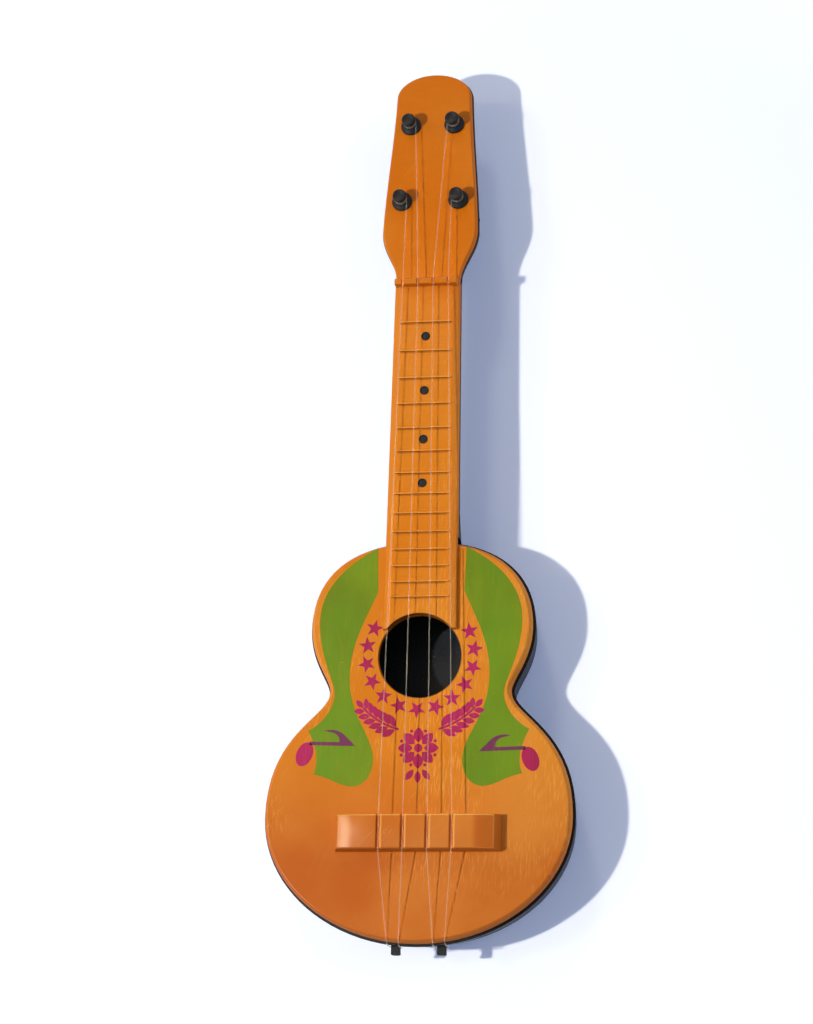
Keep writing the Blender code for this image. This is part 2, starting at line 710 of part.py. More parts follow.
def neck_back(black, parent):
    """Black channel behind the neck with its heel, tenon and headstock back."""
    rings = []
    for y, depth, squareness in heel_stations():
        top = joint_z(y) - FIT_GAP
        if y > HEAD_START_Y:
            top -= HEAD_BACK_THICK / 2
        half = min(neck_half(y), NECK_HALF_AT_BODY) - NECK_BACK_INSET
        ring = back_section(y, half, top, depth, squareness)
        if y < BODY_TOP_Y + OVERLAP:
            for point in ring:
                point.y -= side_inset(min(point.z, SEAM_Z))
        rings.append(ring)
    moulding = loft("neck_back", rings, black, parent)

    high = -HEAD_FRONT_THICK - FIT_GAP
    low = high - HEAD_BACK_THICK
    levels = ((HEAD_EDGE + FIT_GAP, low), (FIT_GAP, low + HEAD_EDGE), (FIT_GAP, high))
    combine(moulding, head_plate("head_back_plate", levels, -FIT_GAP, parent), "UNION")
    rings = []
    for z in (TENON_LOW_Z, SEAM_Z, TENON_HIGH_Z):
        end = BODY_TOP_Y + FIT_GAP - side_inset(min(z, SEAM_Z)) + TENON_BITE
        rings.append([(-TENON_HALF, TENON_END_Y, z), (TENON_HALF, TENON_END_Y, z), (TENON_HALF, end, z),
                      (-TENON_HALF, end, z)])
    combine(moulding, loft("tenon", rings, None, parent), "UNION")

    channel = []
    for y, depth, squareness in heel_stations()[3:7]:
        top = joint_z(y) + OVERLAP
        half = neck_half(y) - NECK_BACK_INSET - NECK_WALL
        inner = max(depth - NECK_WALL, OVERLAP) + OVERLAP
        channel.append(back_section(y, half, top, inner, squareness, 7))
    combine(moulding, loft("neck_channel", channel, None, parent), "DIFFERENCE")

    cut_head_holes(moulding, "head_back_holes", low - OVERLAP, high + OVERLAP, parent)
    combine(moulding, head_screw_bores("head_back_bores", parent), "DIFFERENCE")
    bores = []
    for x, y in heel_screw_places():
        profile = ((SCREW_HOLE_RADIUS, TENON_LOW_Z - OVERLAP), (SCREW_HOLE_RADIUS, SCREW_TIP_Z + OVERLAP))
        bores.append(turned("heel_bore", profile, SMALL_SIDES, None, parent, (x, y)))
    combine(moulding, joined_tool("heel_bores", bores, parent), "DIFFERENCE")


def marker_y(space):
    """Middle of a space between two frets."""
    return (fret_y(space) + fret_y(space - 1)) / 2


def position_marker(space, black, parent):
    """Round inlay in the fingerboard."""
    low = NECK_TOP_Z - MARKER_DEPTH + FIT_GAP
    high = NECK_TOP_Z + MARKER_PROUD
    edge = MARKER_PROUD
    profile = ((MARKER_RADIUS, low), (MARKER_RADIUS, high - edge), (MARKER_RADIUS - edge, high))
    turned("fret_marker_%d" % space, profile, SMALL_SIDES, black, parent, (0.0, marker_y(space)))


def bridge(orange, parent):
    """Bridge block with sloped ends, falling top, four slots and two pins."""
    base = BODY_DEPTH + FIT_GAP
    top = BRIDGE_TOP_Z
    half_depth = BRIDGE_DEPTH / 2
    upper_half = BRIDGE_HALF - BRIDGE_END_SLOPE
    rings = []
    stations = (
        (-BRIDGE_HALF, base + BRIDGE_EDGE),
        (-upper_half, top - BRIDGE_ARCH_FALL),
        (-upper_half + BRIDGE_ARCH_RUN, top),
        (upper_half - BRIDGE_ARCH_RUN, top),
        (upper_half, top - BRIDGE_ARCH_FALL),
        (BRIDGE_HALF, base + BRIDGE_EDGE),
    )
    for x, peak in stations:
        rise = (peak - base) / (top - base)
        upper = half_depth - BRIDGE_SIDE_SLOPE * rise
        edge = BRIDGE_EDGE * rise
        section = ((half_depth, base), (-half_depth, base), (-upper, peak - edge), (-upper + edge, peak),
                   (upper - edge, peak), (upper, peak - edge))
        rings.append([(x + BRIDGE_OFFSET, BRIDGE_Y + y, z) for y, z in section])
    block = loft("bridge", rings, orange, parent)
    combine(block, moulded_pins("bridge_pins", pin_places()[2:], base + OVERLAP, parent), "UNION")
    slots = []
    for x in slot_places():
        low_corner = (x - SLOT_WIDTH / 2, BRIDGE_Y - BRIDGE_DEPTH, STRING_BRIDGE_Z - STRING_SEAT)
        high_corner = (x + SLOT_WIDTH / 2, BRIDGE_Y + BRIDGE_DEPTH, top + OVERLAP)
        slots.append(box("slot", low_corner, high_corner, None, parent))
    combine(block, joined_tool("bridge_slots", slots, parent), "DIFFERENCE")


def tuner_post(label, black, axis):
    """Turned post with its flange on the headstock face and its shaft through both plates."""
    plates = HEAD_FRONT_THICK + FIT_GAP + HEAD_BACK_THICK
    shaft_end = -plates - TUNER_SOCKET
    bore = KNOB_SCREW_RADIUS + FIT_GAP
    profile = (
        (bore, shaft_end + KNOB_SCREW_GRIP),
        (bore, shaft_end),
        (TUNER_SHAFT_RADIUS, shaft_end),
        (TUNER_SHAFT_RADIUS, FIT_GAP),
        (TUNER_FLANGE_RADIUS, FIT_GAP),
        (TUNER_FLANGE_RADIUS, TUNER_FLANGE_HEIGHT * 0.6),
        (TUNER_FLANGE_RADIUS * 0.88, TUNER_FLANGE_HEIGHT),
        (TUNER_WAIST_RADIUS * 1.2, TUNER_WAIST_LOW * 0.8),
        (TUNER_WAIST_RADIUS, TUNER_WAIST_LOW),
        (TUNER_WAIST_RADIUS, TUNER_WAIST_HIGH),
        (TUNER_CAP_RADIUS, TUNER_WAIST_HIGH + TUNER_CAP_FLARE),
        (TUNER_CAP_RADIUS, TUNER_HEIGHT - TUNER_CAP_EDGE),
        (TUNER_CAP_RADIUS - TUNER_CAP_EDGE, TUNER_HEIGHT),
    )
    turned("tuner_post_" + label, profile, ROUND_SIDES, black, axis)


def wing_ring(half_length, half_thick, turn, z, corner_steps=4):
    """A flat oval outline turned about the tuner's axis."""
    ring = []
    for end in (0, 1):
        for i in range(corner_steps + 1):
            angle = math.pi * (i / corner_steps - 0.5) + math.pi * end
            x = (half_length - half_thick) * (1 if end == 0 else -1) + half_thick * math.cos(angle)
            y = half_thick * math.sin(angle)
            ring.append(Matrix.Rotation(turn, 3, "Z") @ Vector((x, y, z)))
    return ring


def tuner_knob(label, turn, black, axis):
    """Knob behind the headstock: a hub with a socket and a flat wing. Gives back its lower end."""
    plates = HEAD_FRONT_THICK + FIT_GAP + HEAD_BACK_THICK
    hub_high = -plates - FIT_GAP
    socket_floor = -plates - TUNER_SOCKET - FIT_GAP
    hub_low = hub_high - KNOB_HUB_LENGTH
    low = hub_low - WING_HEIGHT
    seat = low + KNOB_SCREW_HEAD_HEIGHT + SCREW_SINK + FIT_GAP
    stem = KNOB_HUB_RADIUS * 0.8
    profile = ((stem, low), (stem, hub_low), (KNOB_HUB_RADIUS, hub_low + KNOB_HUB_EDGE), (KNOB_HUB_RADIUS, hub_high))
    knob = turned("tuner_knob_" + label, profile, ROUND_SIDES, black, axis)
    rings = []
    for half, thick, z in ((0.90, 0.7, low + FIT_GAP), (1.0, 1.0, low + WING_LOW_EDGE),
                           (1.0, 1.0, hub_low - WING_HIGH_EDGE), (0.62, 0.8, hub_low + WING_OVERLAP)):
        rings.append(wing_ring(WING_HALF * half, WING_THICK / 2 * thick, turn, z))
    combine(knob, loft("wing_" + label, rings, None, axis), "UNION")
    recess = KNOB_SCREW_HEAD_RADIUS + FIT_GAP
    slim = KNOB_SCREW_RADIUS + FIT_GAP
    socket = TUNER_SHAFT_RADIUS + FIT_GAP
    profile = ((recess, low - OVERLAP), (recess, seat), (slim, seat), (slim, socket_floor), (socket, socket_floor),
               (socket, hub_high + OVERLAP))
    combine(knob, turned("knob_bore_" + label, profile, ROUND_SIDES, None, axis), "DIFFERENCE")
    return low


def screw(name, head_radius, head_height, shank_radius, length, sink, steel, parent, centre=(0.0, 0.0)):
    """A screw standing on its head, with a domed head and a short point."""
    under = sink + head_height
    tip = sink + length
    profile = ((head_radius * 0.7, sink), (head_radius, sink + head_height * 0.5), (head_radius, under),
               (shank_radius, under), (shank_radius, tip - shank_radius), (shank_radius * 0.3, tip))
    turned(name, profile, SMALL_SIDES, steel, parent, centre)


def tuners(black, steel, parent):
    """The four tuners, each on an empty that stands on its turning axis."""
    head = empty("head_frame", parent, (0.0, HEAD_START_Y, HEAD_FACE_Z), -HEAD_TILT)
    for label, x, share, angle in TUNER_LAYOUT:
        axis = empty("tuner_axis_" + label, head, (x, along_head(share), 0.0))
        tuner_post(label, black, axis)
        low = tuner_knob(label, math.radians(angle), black, axis)
        socket_floor = -(HEAD_FRONT_THICK + FIT_GAP + HEAD_BACK_THICK) - TUNER_SOCKET
        length = socket_floor - low - SCREW_SINK + KNOB_SCREW_GRIP - FIT_GAP
        screw("tuner_screw_" + label, KNOB_SCREW_HEAD_RADIUS, KNOB_SCREW_HEAD_HEIGHT, KNOB_SCREW_RADIUS,
              length, low + SCREW_SINK, steel, axis)
    floor = -HEAD_FRONT_THICK - FIT_GAP - HEAD_BACK_THICK
    for number, share in enumerate(HEAD_SCREW_SHARES, 1):
        screw("head_screw_%d" % number, HEAD_SCREW_HEAD_RADIUS, HEAD_SCREW_HEAD_HEIGHT, HEAD_SCREW_RADIUS,
              HEAD_SCREW_LENGTH, floor + SCREW_SINK, steel, head, (0.0, along_head(share)))


def body_screws(steel, parent):
    """Screws through the back into the soundboard's bosses and the neck's tenon."""
    for number, place in enumerate(screw_places(), 1):
        screw("body_screw_%d" % number, SCREW_HEAD_RADIUS, SCREW_HEAD_HEIGHT, SCREW_SHANK_RADIUS,
              SCREW_LENGTH, SCREW_SINK, steel, parent, place)
    for number, place in enumerate(heel_screw_places(), 1):
        screw("heel_screw_%d" % number, SCREW_HEAD_RADIUS, SCREW_HEAD_HEIGHT, SCREW_SHANK_RADIUS,
              SCREW_LENGTH, SCREW_SINK, steel, parent, place)


def winding(tuner, side):
    """Route from the loose end round the post to the run that leaves it for the nut."""
    _, x, share, _ = tuner
    y = along_head(share)
    radius = TUNER_WAIST_RADIUS + STRING_SEAT
    leave = math.pi if side > 0 else 0.0
    steps = round(WINDING_TURNS * WINDING_STEPS)
    points = []
    for i in range(steps + 1):
        back = (steps - i) / WINDING_STEPS
        angle = leave - side * 2 * math.pi * back
        z = WINDING_START + WINDING_PITCH * back
        points.append(Vector((x + radius * math.cos(angle), y + radius * math.sin(angle), z)))
    loose = (points[0] - points[1]).normalized()
    loose.z = 0.0
    outward = Vector((points[0].x - x, points[0].y - y, 0.0)).normalized()
    points.insert(0, points[0] + (loose * 0.8 + outward * 0.5) * STRING_TAIL)
    matrix = head_matrix()
    return [matrix @ point for point in points]


def over_rim(x):
    """Route over the body's rounded lower edge and down to the hook's level."""
    middle_y = tail_y(x) + RIM_ROUND
    middle_z = BODY_DEPTH - RIM_ROUND
    radius = RIM_ROUND + STRING_SEAT
    points = []
    for degrees in (12, 36, 62, 90):
        angle = math.radians(degrees)
        points.append(Vector((x, middle_y - radius * math.sin(angle), middle_z + radius * math.cos(angle))))
    return points


def straight_run(number, leg_x):
    """Route of one string from the nut to the lower edge of the body."""
    notch = notch_places()[number]
    slot = slot_places()[number]
    half_depth = BRIDGE_DEPTH / 2 - BRIDGE_SIDE_SLOPE + FIT_GAP
    run = [Vector((notch, NUT_Y + NUT_LENGTH / 2 - NUT_ROUND, STRING_NUT_Z))]
    run.append(Vector((notch, NUT_Y - NUT_LENGTH / 2, STRING_NUT_Z)))
    run.append(Vector((slot, BRIDGE_Y + half_depth, STRING_BRIDGE_Z)))
    run.append(Vector((slot, BRIDGE_Y - half_depth, STRING_BRIDGE_Z)))
    return run + over_rim(leg_x)


def string_route(side):
    """One line from a low tuner over the bridge, round a hook and back to the high tuner."""
    outer, inner = ((0, 1) if side < 0 else (3, 2))
    middle = hook_centre(side)
    reach = HOOK_HALF + STRING_SEAT
    outer_x = middle + side * reach
    inner_x = middle - side * reach
    out = winding(TUNER_LAYOUT[outer], side) + straight_run(outer, outer_x)
    back = winding(TUNER_LAYOUT[inner], side) + straight_run(inner, inner_x)
    turn = []
    for i in range(9):
        angle = math.pi * i / 8
        x = middle + side * reach * math.cos(angle)
        y = out[-1].y + (back[-1].y - out[-1].y) * i / 8
        z = HOOK_TOP_Z - HOOK_HEIGHT + HOOK_HALF - reach * math.sin(angle)
        turn.append(Vector((x, y, z)))
    return out + turn + list(reversed(back))


def least_gap(points):
    """Least distance between two turns of a route, less the string's diameter."""
    travelled = [0.0]
    for a, b in zip(points, points[1:]):
        travelled.append(travelled[-1] + (b - a).length)
    least = None
    for i, a in enumerate(points):
        for j in range(i + 1, len(points)):
            if travelled[j] - travelled[i] < math.pi * TUNER_WAIST_RADIUS:
                continue
            gap = (points[j] - a).length - STRING_DIAMETER
            least = gap if least is None else min(least, gap)
    return least


def string_loop(name, side, nylon, parent):
    """A nylon line that serves two strings, as one tube."""
    points = string_route(side)
    print("%s: %.0f mm long, least gap to itself %.2f mm"
          % (name, 1000 * sum((b - a).length for a, b in zip(points, points[1:])), 1000 * least_gap(points)))
    curve = bpy.data.curves.new(name, "CURVE")
    curve.dimensions = "3D"
    curve.bevel_depth = STRING_RADIUS
    curve.bevel_resolution = 1
    curve.use_fill_caps = True
    spline = curve.splines.new("POLY")
    spline.points.add(len(points) - 1)
    for slot, point in zip(spline.points, points):
        slot.co = (*point, 1.0)
    curve.materials.append(nylon)
    obj = bpy.data.objects.new(name, curve)
    bpy.context.collection.objects.link(obj)
    obj.parent = parent


def main():
    clear_scene()
    orange = plastic("orange_plastic", (0.66, 0.20, 0.02), 0.38)
    black = plastic("black_plastic", (0.015, 0.016, 0.018), 0.35)
    steel = plastic("screw_steel", (0.55, 0.55, 0.56), 0.35, 1.0)
    nylon = plastic("nylon_line", (0.75, 0.72, 0.66), 0.30)

    instrument = empty("instrument", None, (0.0, -INSTRUMENT_SHIFT, 0.0))
    front_shell(orange, instrument)
    back_shell(black, instrument)
    neck_front(orange, instrument)
    neck_back(black, instrument)
    bridge(orange, instrument)
    for space in MARKED_SPACES:
        position_marker(space, black, instrument)
    tuners(black, steel, instrument)
    body_screws(steel, instrument)
    string_loop("string_loop_bass", -1, nylon, instrument)
    string_loop("string_loop_treble", 1, nylon, instrument)


main()
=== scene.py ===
"""Looks of a small moulded toy guitar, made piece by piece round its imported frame.

Lengths are in metres. The guitar lies on its back: +Z is the front, the neck points along +Y and
+X is to the right seen from the front. Shapes are drawn with Y measured up from the body's lower
end, and each piece is moved to the frame's own place as it is finished.
"""

from math import atan2, copysign, cos, pi, radians, sin, tan

import bmesh
import bpy
from bpy.props import FloatProperty, FloatVectorProperty, IntProperty, PointerProperty
from bpy.types import Operator, Panel, PropertyGroup
from mathutils import Matrix, Vector


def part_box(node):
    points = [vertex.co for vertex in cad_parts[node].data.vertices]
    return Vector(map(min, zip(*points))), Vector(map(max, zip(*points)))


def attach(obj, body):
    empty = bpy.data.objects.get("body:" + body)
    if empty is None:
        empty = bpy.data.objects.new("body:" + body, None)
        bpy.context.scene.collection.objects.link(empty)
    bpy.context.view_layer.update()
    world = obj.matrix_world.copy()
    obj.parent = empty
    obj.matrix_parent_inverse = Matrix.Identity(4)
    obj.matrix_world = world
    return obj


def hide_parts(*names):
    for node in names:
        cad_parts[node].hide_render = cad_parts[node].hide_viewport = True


bl_info = {
    "name": "Toy guitar",
    "version": (1, 0, 0),
    "blender": (4, 5, 0),
    "location": "3D View > Sidebar > Toy guitar",
    "description": "Makes a small moulded toy guitar piece by piece",
    "category": "Object",
}

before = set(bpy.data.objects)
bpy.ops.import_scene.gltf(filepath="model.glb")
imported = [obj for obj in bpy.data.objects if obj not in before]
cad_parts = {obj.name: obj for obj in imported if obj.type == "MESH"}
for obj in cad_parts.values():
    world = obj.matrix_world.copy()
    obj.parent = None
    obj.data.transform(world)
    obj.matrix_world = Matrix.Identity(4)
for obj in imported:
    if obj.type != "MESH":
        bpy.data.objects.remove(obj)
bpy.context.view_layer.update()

# Places that come from the frame
TAIL_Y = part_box("front_shell")[0].y
SEAM_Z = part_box("back_shell")[1].z
BOARD_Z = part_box("front_shell")[1].z
BOARD_UNDER_Z = BOARD_Z - 0.0022
GAP = 0.0003
OVERCUT = 0.001

# Body outline: widest and narrowest places, how full its ends are, and its right half's curves
LOW_BOUT = (0.082, 0.067)
WAIST = (0.0492, 0.1325)
UP_BOUT = (0.06, 0.167)
BODY_TOP_Y = 0.214
FULLNESS = 0.552
OUTLINE_STEPS = (22, 18, 14, 22)
BODY_CURVES = (
    ((0, 0), (LOW_BOUT[0] * FULLNESS, 0), (LOW_BOUT[0], LOW_BOUT[1] * (1 - FULLNESS)), LOW_BOUT),
    (LOW_BOUT, (LOW_BOUT[0], LOW_BOUT[1] + 0.045), (WAIST[0], WAIST[1] - 0.012), WAIST),
    (WAIST, (WAIST[0], WAIST[1] + 0.006), (UP_BOUT[0], UP_BOUT[1] - 0.018), UP_BOUT),
    (UP_BOUT, (UP_BOUT[0], UP_BOUT[1] + 0.03), (0.038, BODY_TOP_Y), (0, BODY_TOP_Y)),
)

# Body shells
SHELL_WALL = 0.0024
SIDE_DRAFT = 0.004
BACK_ROUND = 0.008
LIP_HEIGHT = 0.003
LIP_THICK = 0.0012
RIM_REVEAL = 0.0014
RIM_DROP = 0.0038
EDGE = 0.0003
HOLE_Y = 0.1505
HOLE_EDGE = 0.0007
HOLE_SIDES = 96
SCREW_SPOTS = ((0, 0.6), (1, 0.22), (3, 0.05))
SCREW_INSET = 0.0139
HEEL_SCREW_X = 0.006
BOSS_RADIUS = 0.0042
BOSS_LOW_Z = 0.0095
PAD_RADIUS = 0.0056
PAD_TOP_Z = 0.009
HEAD_RECESS = 0.0032
RECESS_DEPTH = 0.0023
SCREW_SINK = 0.0004

# Neck, fingerboard and nut
NECK_TOP_Z = BOARD_Z + 0.0045
JOINT_Z = NECK_TOP_Z - 0.0065
TONGUE_END_Y = 0.1645
NUT_Y = 0.3543
NUT_LENGTH = 0.004
NUT_HEIGHT = 0.0047
NECK_HALF_AT_NUT = 0.0175
NECK_HALF_AT_BODY = 0.019
SHOULDER_WIDTH = 0.0033
SHOULDER_FALL = 0.0015
NECK_BACK_DEPTH = 0.0147
NECK_BACK_INSET = -0.0002
TENON_LOW_Z = 0.0093
TENON_HALF = 0.01
TENON_END = 0.0055
HEEL_DEPTH = JOINT_Z - GAP - TENON_LOW_Z
FRET_ZERO_Y = 0.3492
FRET_SCALE = 0.3022
FRET_COUNT = 14
MARKED_SPACES = (2, 4, 6, 8)
MARKER_RADIUS = 0.0024
MARKER_DEPTH = 0.0015

# Headstock, in its own tilted frame whose height 0 is the front face
HEAD_TILT = radians(3.0)
HEAD_START_Y = 0.3563
HEAD_TOP_Y = 0.4783
HEAD_FRONT_THICK = 0.0045
HEAD_BACK_THICK = 0.0035
HEAD_BACK_Z = -HEAD_FRONT_THICK - GAP - HEAD_BACK_THICK
HEAD_WIDE = (0.0265, 0.243)
HEAD_DOME = (0.0212, 0.885)
HEAD_FLARE_LOW = 0.01
HEAD_FLARE_HIGH = 0.012
HEAD_EDGE = 0.0012
HEAD_EDGE_DROP = 0.0034
HEAD_REVEAL = 0.0005
HEAD_SCREW_SHARES = (0.194, 0.559, 0.899)
HEAD_ROOT = Matrix.Translation((0, HEAD_START_Y, JOINT_Z + HEAD_FRONT_THICK))
HEAD_MATRIX = HEAD_ROOT @ Matrix.Rotation(-HEAD_TILT, 4, "X")

# Tuners: place across, share of the headstock's length, and the way the wing points
TUNERS = {
    "bass_low": (-0.0155, 0.378, 64.0),
    "bass_high": (-0.012, 0.743, 12.0),
    "treble_high": (0.012, 0.743, 128.0),
    "treble_low": (0.0155, 0.378, -30.0),
}
SHAFT_RADIUS = 0.0026
KNOB_LENGTH = 0.014
WING_HALF = 0.0098
WING_THICK = 0.0019

# Screws: head radius, head height, shank radius and length
LONG_SCREW = (0.0029, 0.0016, 0.0014, 0.022)
HEAD_SCREW = (0.0019, 0.001, 0.001, 0.006)
KNOB_SCREW = (0.002, 0.0012, 0.001, 0.015)

# Bridge, hooks and strings
BRIDGE_Y = 0.0573
BRIDGE_OFFSET = 0.0012
BRIDGE_HALF = 0.0452
BRIDGE_DEPTH = 0.0204
BRIDGE_END_SLOPE = 0.004
BRIDGE_SIDE_SLOPE = 0.0012
BRIDGE_FALL = 0.0022
BRIDGE_SIDE_FALL = 0.0006
BRIDGE_EDGE = 0.001
BRIDGE_FOOT_SPREAD = 0.0003
BRIDGE_LEFT_TUCK = 0.002
BRIDGE_RIGHT_TUCK = 0.0018
BRIDGE_TOP_Z = BOARD_Z + GAP + 0.011
BRIDGE_PIN_X = 0.03
BRIDGE_PIN_RADIUS = 0.002
BRIDGE_PIN_REACH = 0.0015
SLOT_WIDTH = 0.0018
SLOT_EDGE = 0.0007
HOOK_X = 0.012
HOOK_HALF = 0.0025
HOOK_TOP_Z = 0.0325
HOOK_HEIGHT = 0.003
HOOK_REACH = 0.0039
HOOK_DROP = 0.0022
STRING_NUT_Z = NECK_TOP_Z + 0.0042
STRING_BRIDGE_Z = BOARD_Z + 0.0097
STRING_SINK = 0.00065
NOTCHES = (-0.0124, -0.00415, 0.00415, 0.0124)
SLOTS = (-0.0191, -0.0064, 0.0064, 0.0191)
WINDING_TURNS = 2.25
WINDING_PITCH = 0.00115
WINDING_START = 0.004

# Prints on the soundboard
PRINT_SINK = 0.00004
PRINT_RISE = 0.00005
PRINT_LAYER = 0.0000005
OVERPRINT_RISE = 0.00009
STAR_RING = 0.0287
STAR_CENTRE = Vector((0.0003, 0.151))
FIRST_STAR = radians(149.2)
STAR_SWEEP = radians(236.7)
ROSETTE = Vector((0.0003, 0.102))
SPRAY_RADIUS = 0.0405
SPRAY_START = radians(15)
SPRAY_END = radians(47)
SPRAY_PAIRS = 6
STEM_HALF = 0.0006
LEAF_LEAN = radians(42)
RIGHT_NOTE_SHIFT = (-0.0008, -0.0032)

# Camera, fitted to the photograph, and lamps
CAMERA_PLACE = (0.284, -0.398, 1.5661)
CAMERA_LEAN = (radians(10.88), radians(14.08))
CAMERA_ROLL = radians(-1.39)
CAMERA_LENS = 133.8
SENSOR_WIDTH = 36.0

# Lamps, as a share of the light that renders white as white, then the world and the floor
KEY_PLACE = Vector((-0.8, -0.33, 1.46))
KEY_SHARE = 0.72
KEY_SIZE = 0.055
LAMP_DISTANCE = 2.4
FAR_LAMPS = (
    ("side", (-0.9, 0.07, 1), 8.0, 0.08, (1.0, 0.98, 0.95), False),
    ("top", (-0.25, 1.1, 1), 9.0, 0.08, (1.0, 1.0, 1.0), False),
    ("fill", (1.1, 0.3, 0.9), 30.0, 0.1, (1.0, 0.99, 0.98), False),
    ("bridge_glow", (-0.58, 0.16, 1), 12.0, 0.55, (1.0, 0.86, 0.58), True),
    ("card_left", (-1.25, 0.25, 1), 20.0, 0.12, (1.0, 0.8, 0.5), True),
    ("card_top", (-0.1, 1.3, 1), 20.0, 0.9, (1.0, 0.68, 0.32), True),
)
SOFT_LIGHT = (0.86, 0.93, 1.0, 1)
SOFT_STRENGTH = 0.24
FLOOR_WHITE = (0.99, 0.99, 0.99, 1)
FLOOR_GLOW = (0.06, 0.1, 0.24)
FLOOR_HALF = 4.0
FLOOR_Z = -0.0002


def tone(*levels):
    """A display colour of 0 to 255 as the linear values that shaders use."""
    shares = [level / 255 for level in levels]
    return tuple(s / 12.92 if s <= 0.04045 else ((s + 0.055) / 1.055) ** 2.4 for s in shares)


def length_property(label, description, default):
    """A length that a user can change."""
    return FloatProperty(name=label, description=description, default=default, unit="LENGTH")


def colour_property(label, description, *levels):
    """A colour that a user can change."""
    return FloatVectorProperty(name=label, description=description, default=tone(*levels), min=0, max=1,
                               size=3, subtype="COLOR")


class GuitarSizes(PropertyGroup):
    """Sizes that can be changed before the pieces are made."""

    rim_round: length_property("Rim rounding", "Radius of the soundboard's outer edge", 0.002)
    hole_radius: length_property("Sound hole", "Radius of the sound hole", 0.0218)
    fret_height: length_property("Fret height", "How far a fret stands over the fingerboard", 0.0012)
    string_width: length_property("String", "Diameter of the nylon line", 0.0006)
    star_radius: length_property("Star", "Distance from a star's middle to its points", 0.0049)
    star_count: IntProperty(
        name="Stars", description="Number of stars round the sound hole", default=13, min=3)
    wear: FloatProperty(
        name="Wear", description="Strength of scratches, chips and dust", default=1.0, min=0, max=1,
        subtype="FACTOR")


class GuitarColours(PropertyGroup):
    """Colours of the mouldings, prints and line."""

    orange: colour_property("Orange", "Soundboard and fingerboard", 208, 117, 14)
    # The tail tone is partly painted shade, and the base of the bridge's painted shade.
    orange_tail: colour_property("Orange, tail", "Soundboard below the bridge", 184, 87, 12)
    orange_head: colour_property("Orange, head", "Headstock", 206, 106, 2)
    # Also the colour of the painted highlights and sheen.
    grain: colour_property("Grain", "Light streaks in the orange", 236, 164, 70)
    black: colour_property("Black", "Tub, neck back and tuners", 28, 30, 34)
    green: colour_property("Green print", "Side panels", 114, 138, 16)
    magenta: colour_property("Magenta print", "Stars, rosette and note heads", 168, 24, 76)
    violet: colour_property("Violet print", "Note stems over green", 100, 48, 72)
    line: colour_property("Line", "Nylon strings", 246, 240, 228)
    steel: colour_property("Steel", "Screws", 190, 190, 192)


class Value:
    """A number that varies over a surface. Python's operators on it add Math nodes."""

    def __init__(self, nodes, socket):
        self.nodes = nodes
        self.socket = socket

    def math(self, operation, *operands):
        """Add a Math node."""
        return self.nodes.node("ShaderNodeMath", {"operation": operation}, dict(enumerate(operands)))

    def __add__(self, other):
        return self.math("ADD", self, other)

    def __sub__(self, other):
        return self.math("SUBTRACT", self, other)

    def __rsub__(self, other):
        return self.math("SUBTRACT", other, self)

    def __mul__(self, other):
        return self.math("MULTIPLY", self, other)

    def __abs__(self):
        return self.math("ABSOLUTE", self)

    __radd__ = __add__
    __rmul__ = __mul__


class Nodes:
    """A node tree being put together."""

    def __init__(self, tree):
        self.tree = tree

    def node(self, kind, settings=None, sockets=None, output=0):
        """Add a node, set its properties, then its sockets, and give back one of its outputs."""
        made = self.tree.nodes.new(kind)
        for key, setting in (settings or {}).items():
            if key == "stops":
                while len(made.color_ramp.elements) < len(setting):
                    made.color_ramp.elements.new(1.0)
                for stop, (share, colour) in zip(made.color_ramp.elements, setting):
                    stop.position = share
                    stop.color = (*colour, 1.0)
            else:
                setattr(made, key, setting)
        self.feed(made, sockets or {})
        return Value(self, made.outputs[output])

    def feed(self, node, sockets):
        """Link or set a node's inputs."""
        for key, source in sockets.items():
            if isinstance(source, Value):
                self.tree.links.new(source.socket, node.inputs[key])
            else:
                node.inputs[key].default_value = source

    def shown(self):
        """1 or more for what is seen by the camera, in a gloss or through the line, and 0 for light."""
        camera, gloss, through = [self.node("ShaderNodeLightPath", output="Is %s Ray" % kind)
                                  for kind in ("Camera", "Glossy", "Transmission")]
        return camera + gloss + through


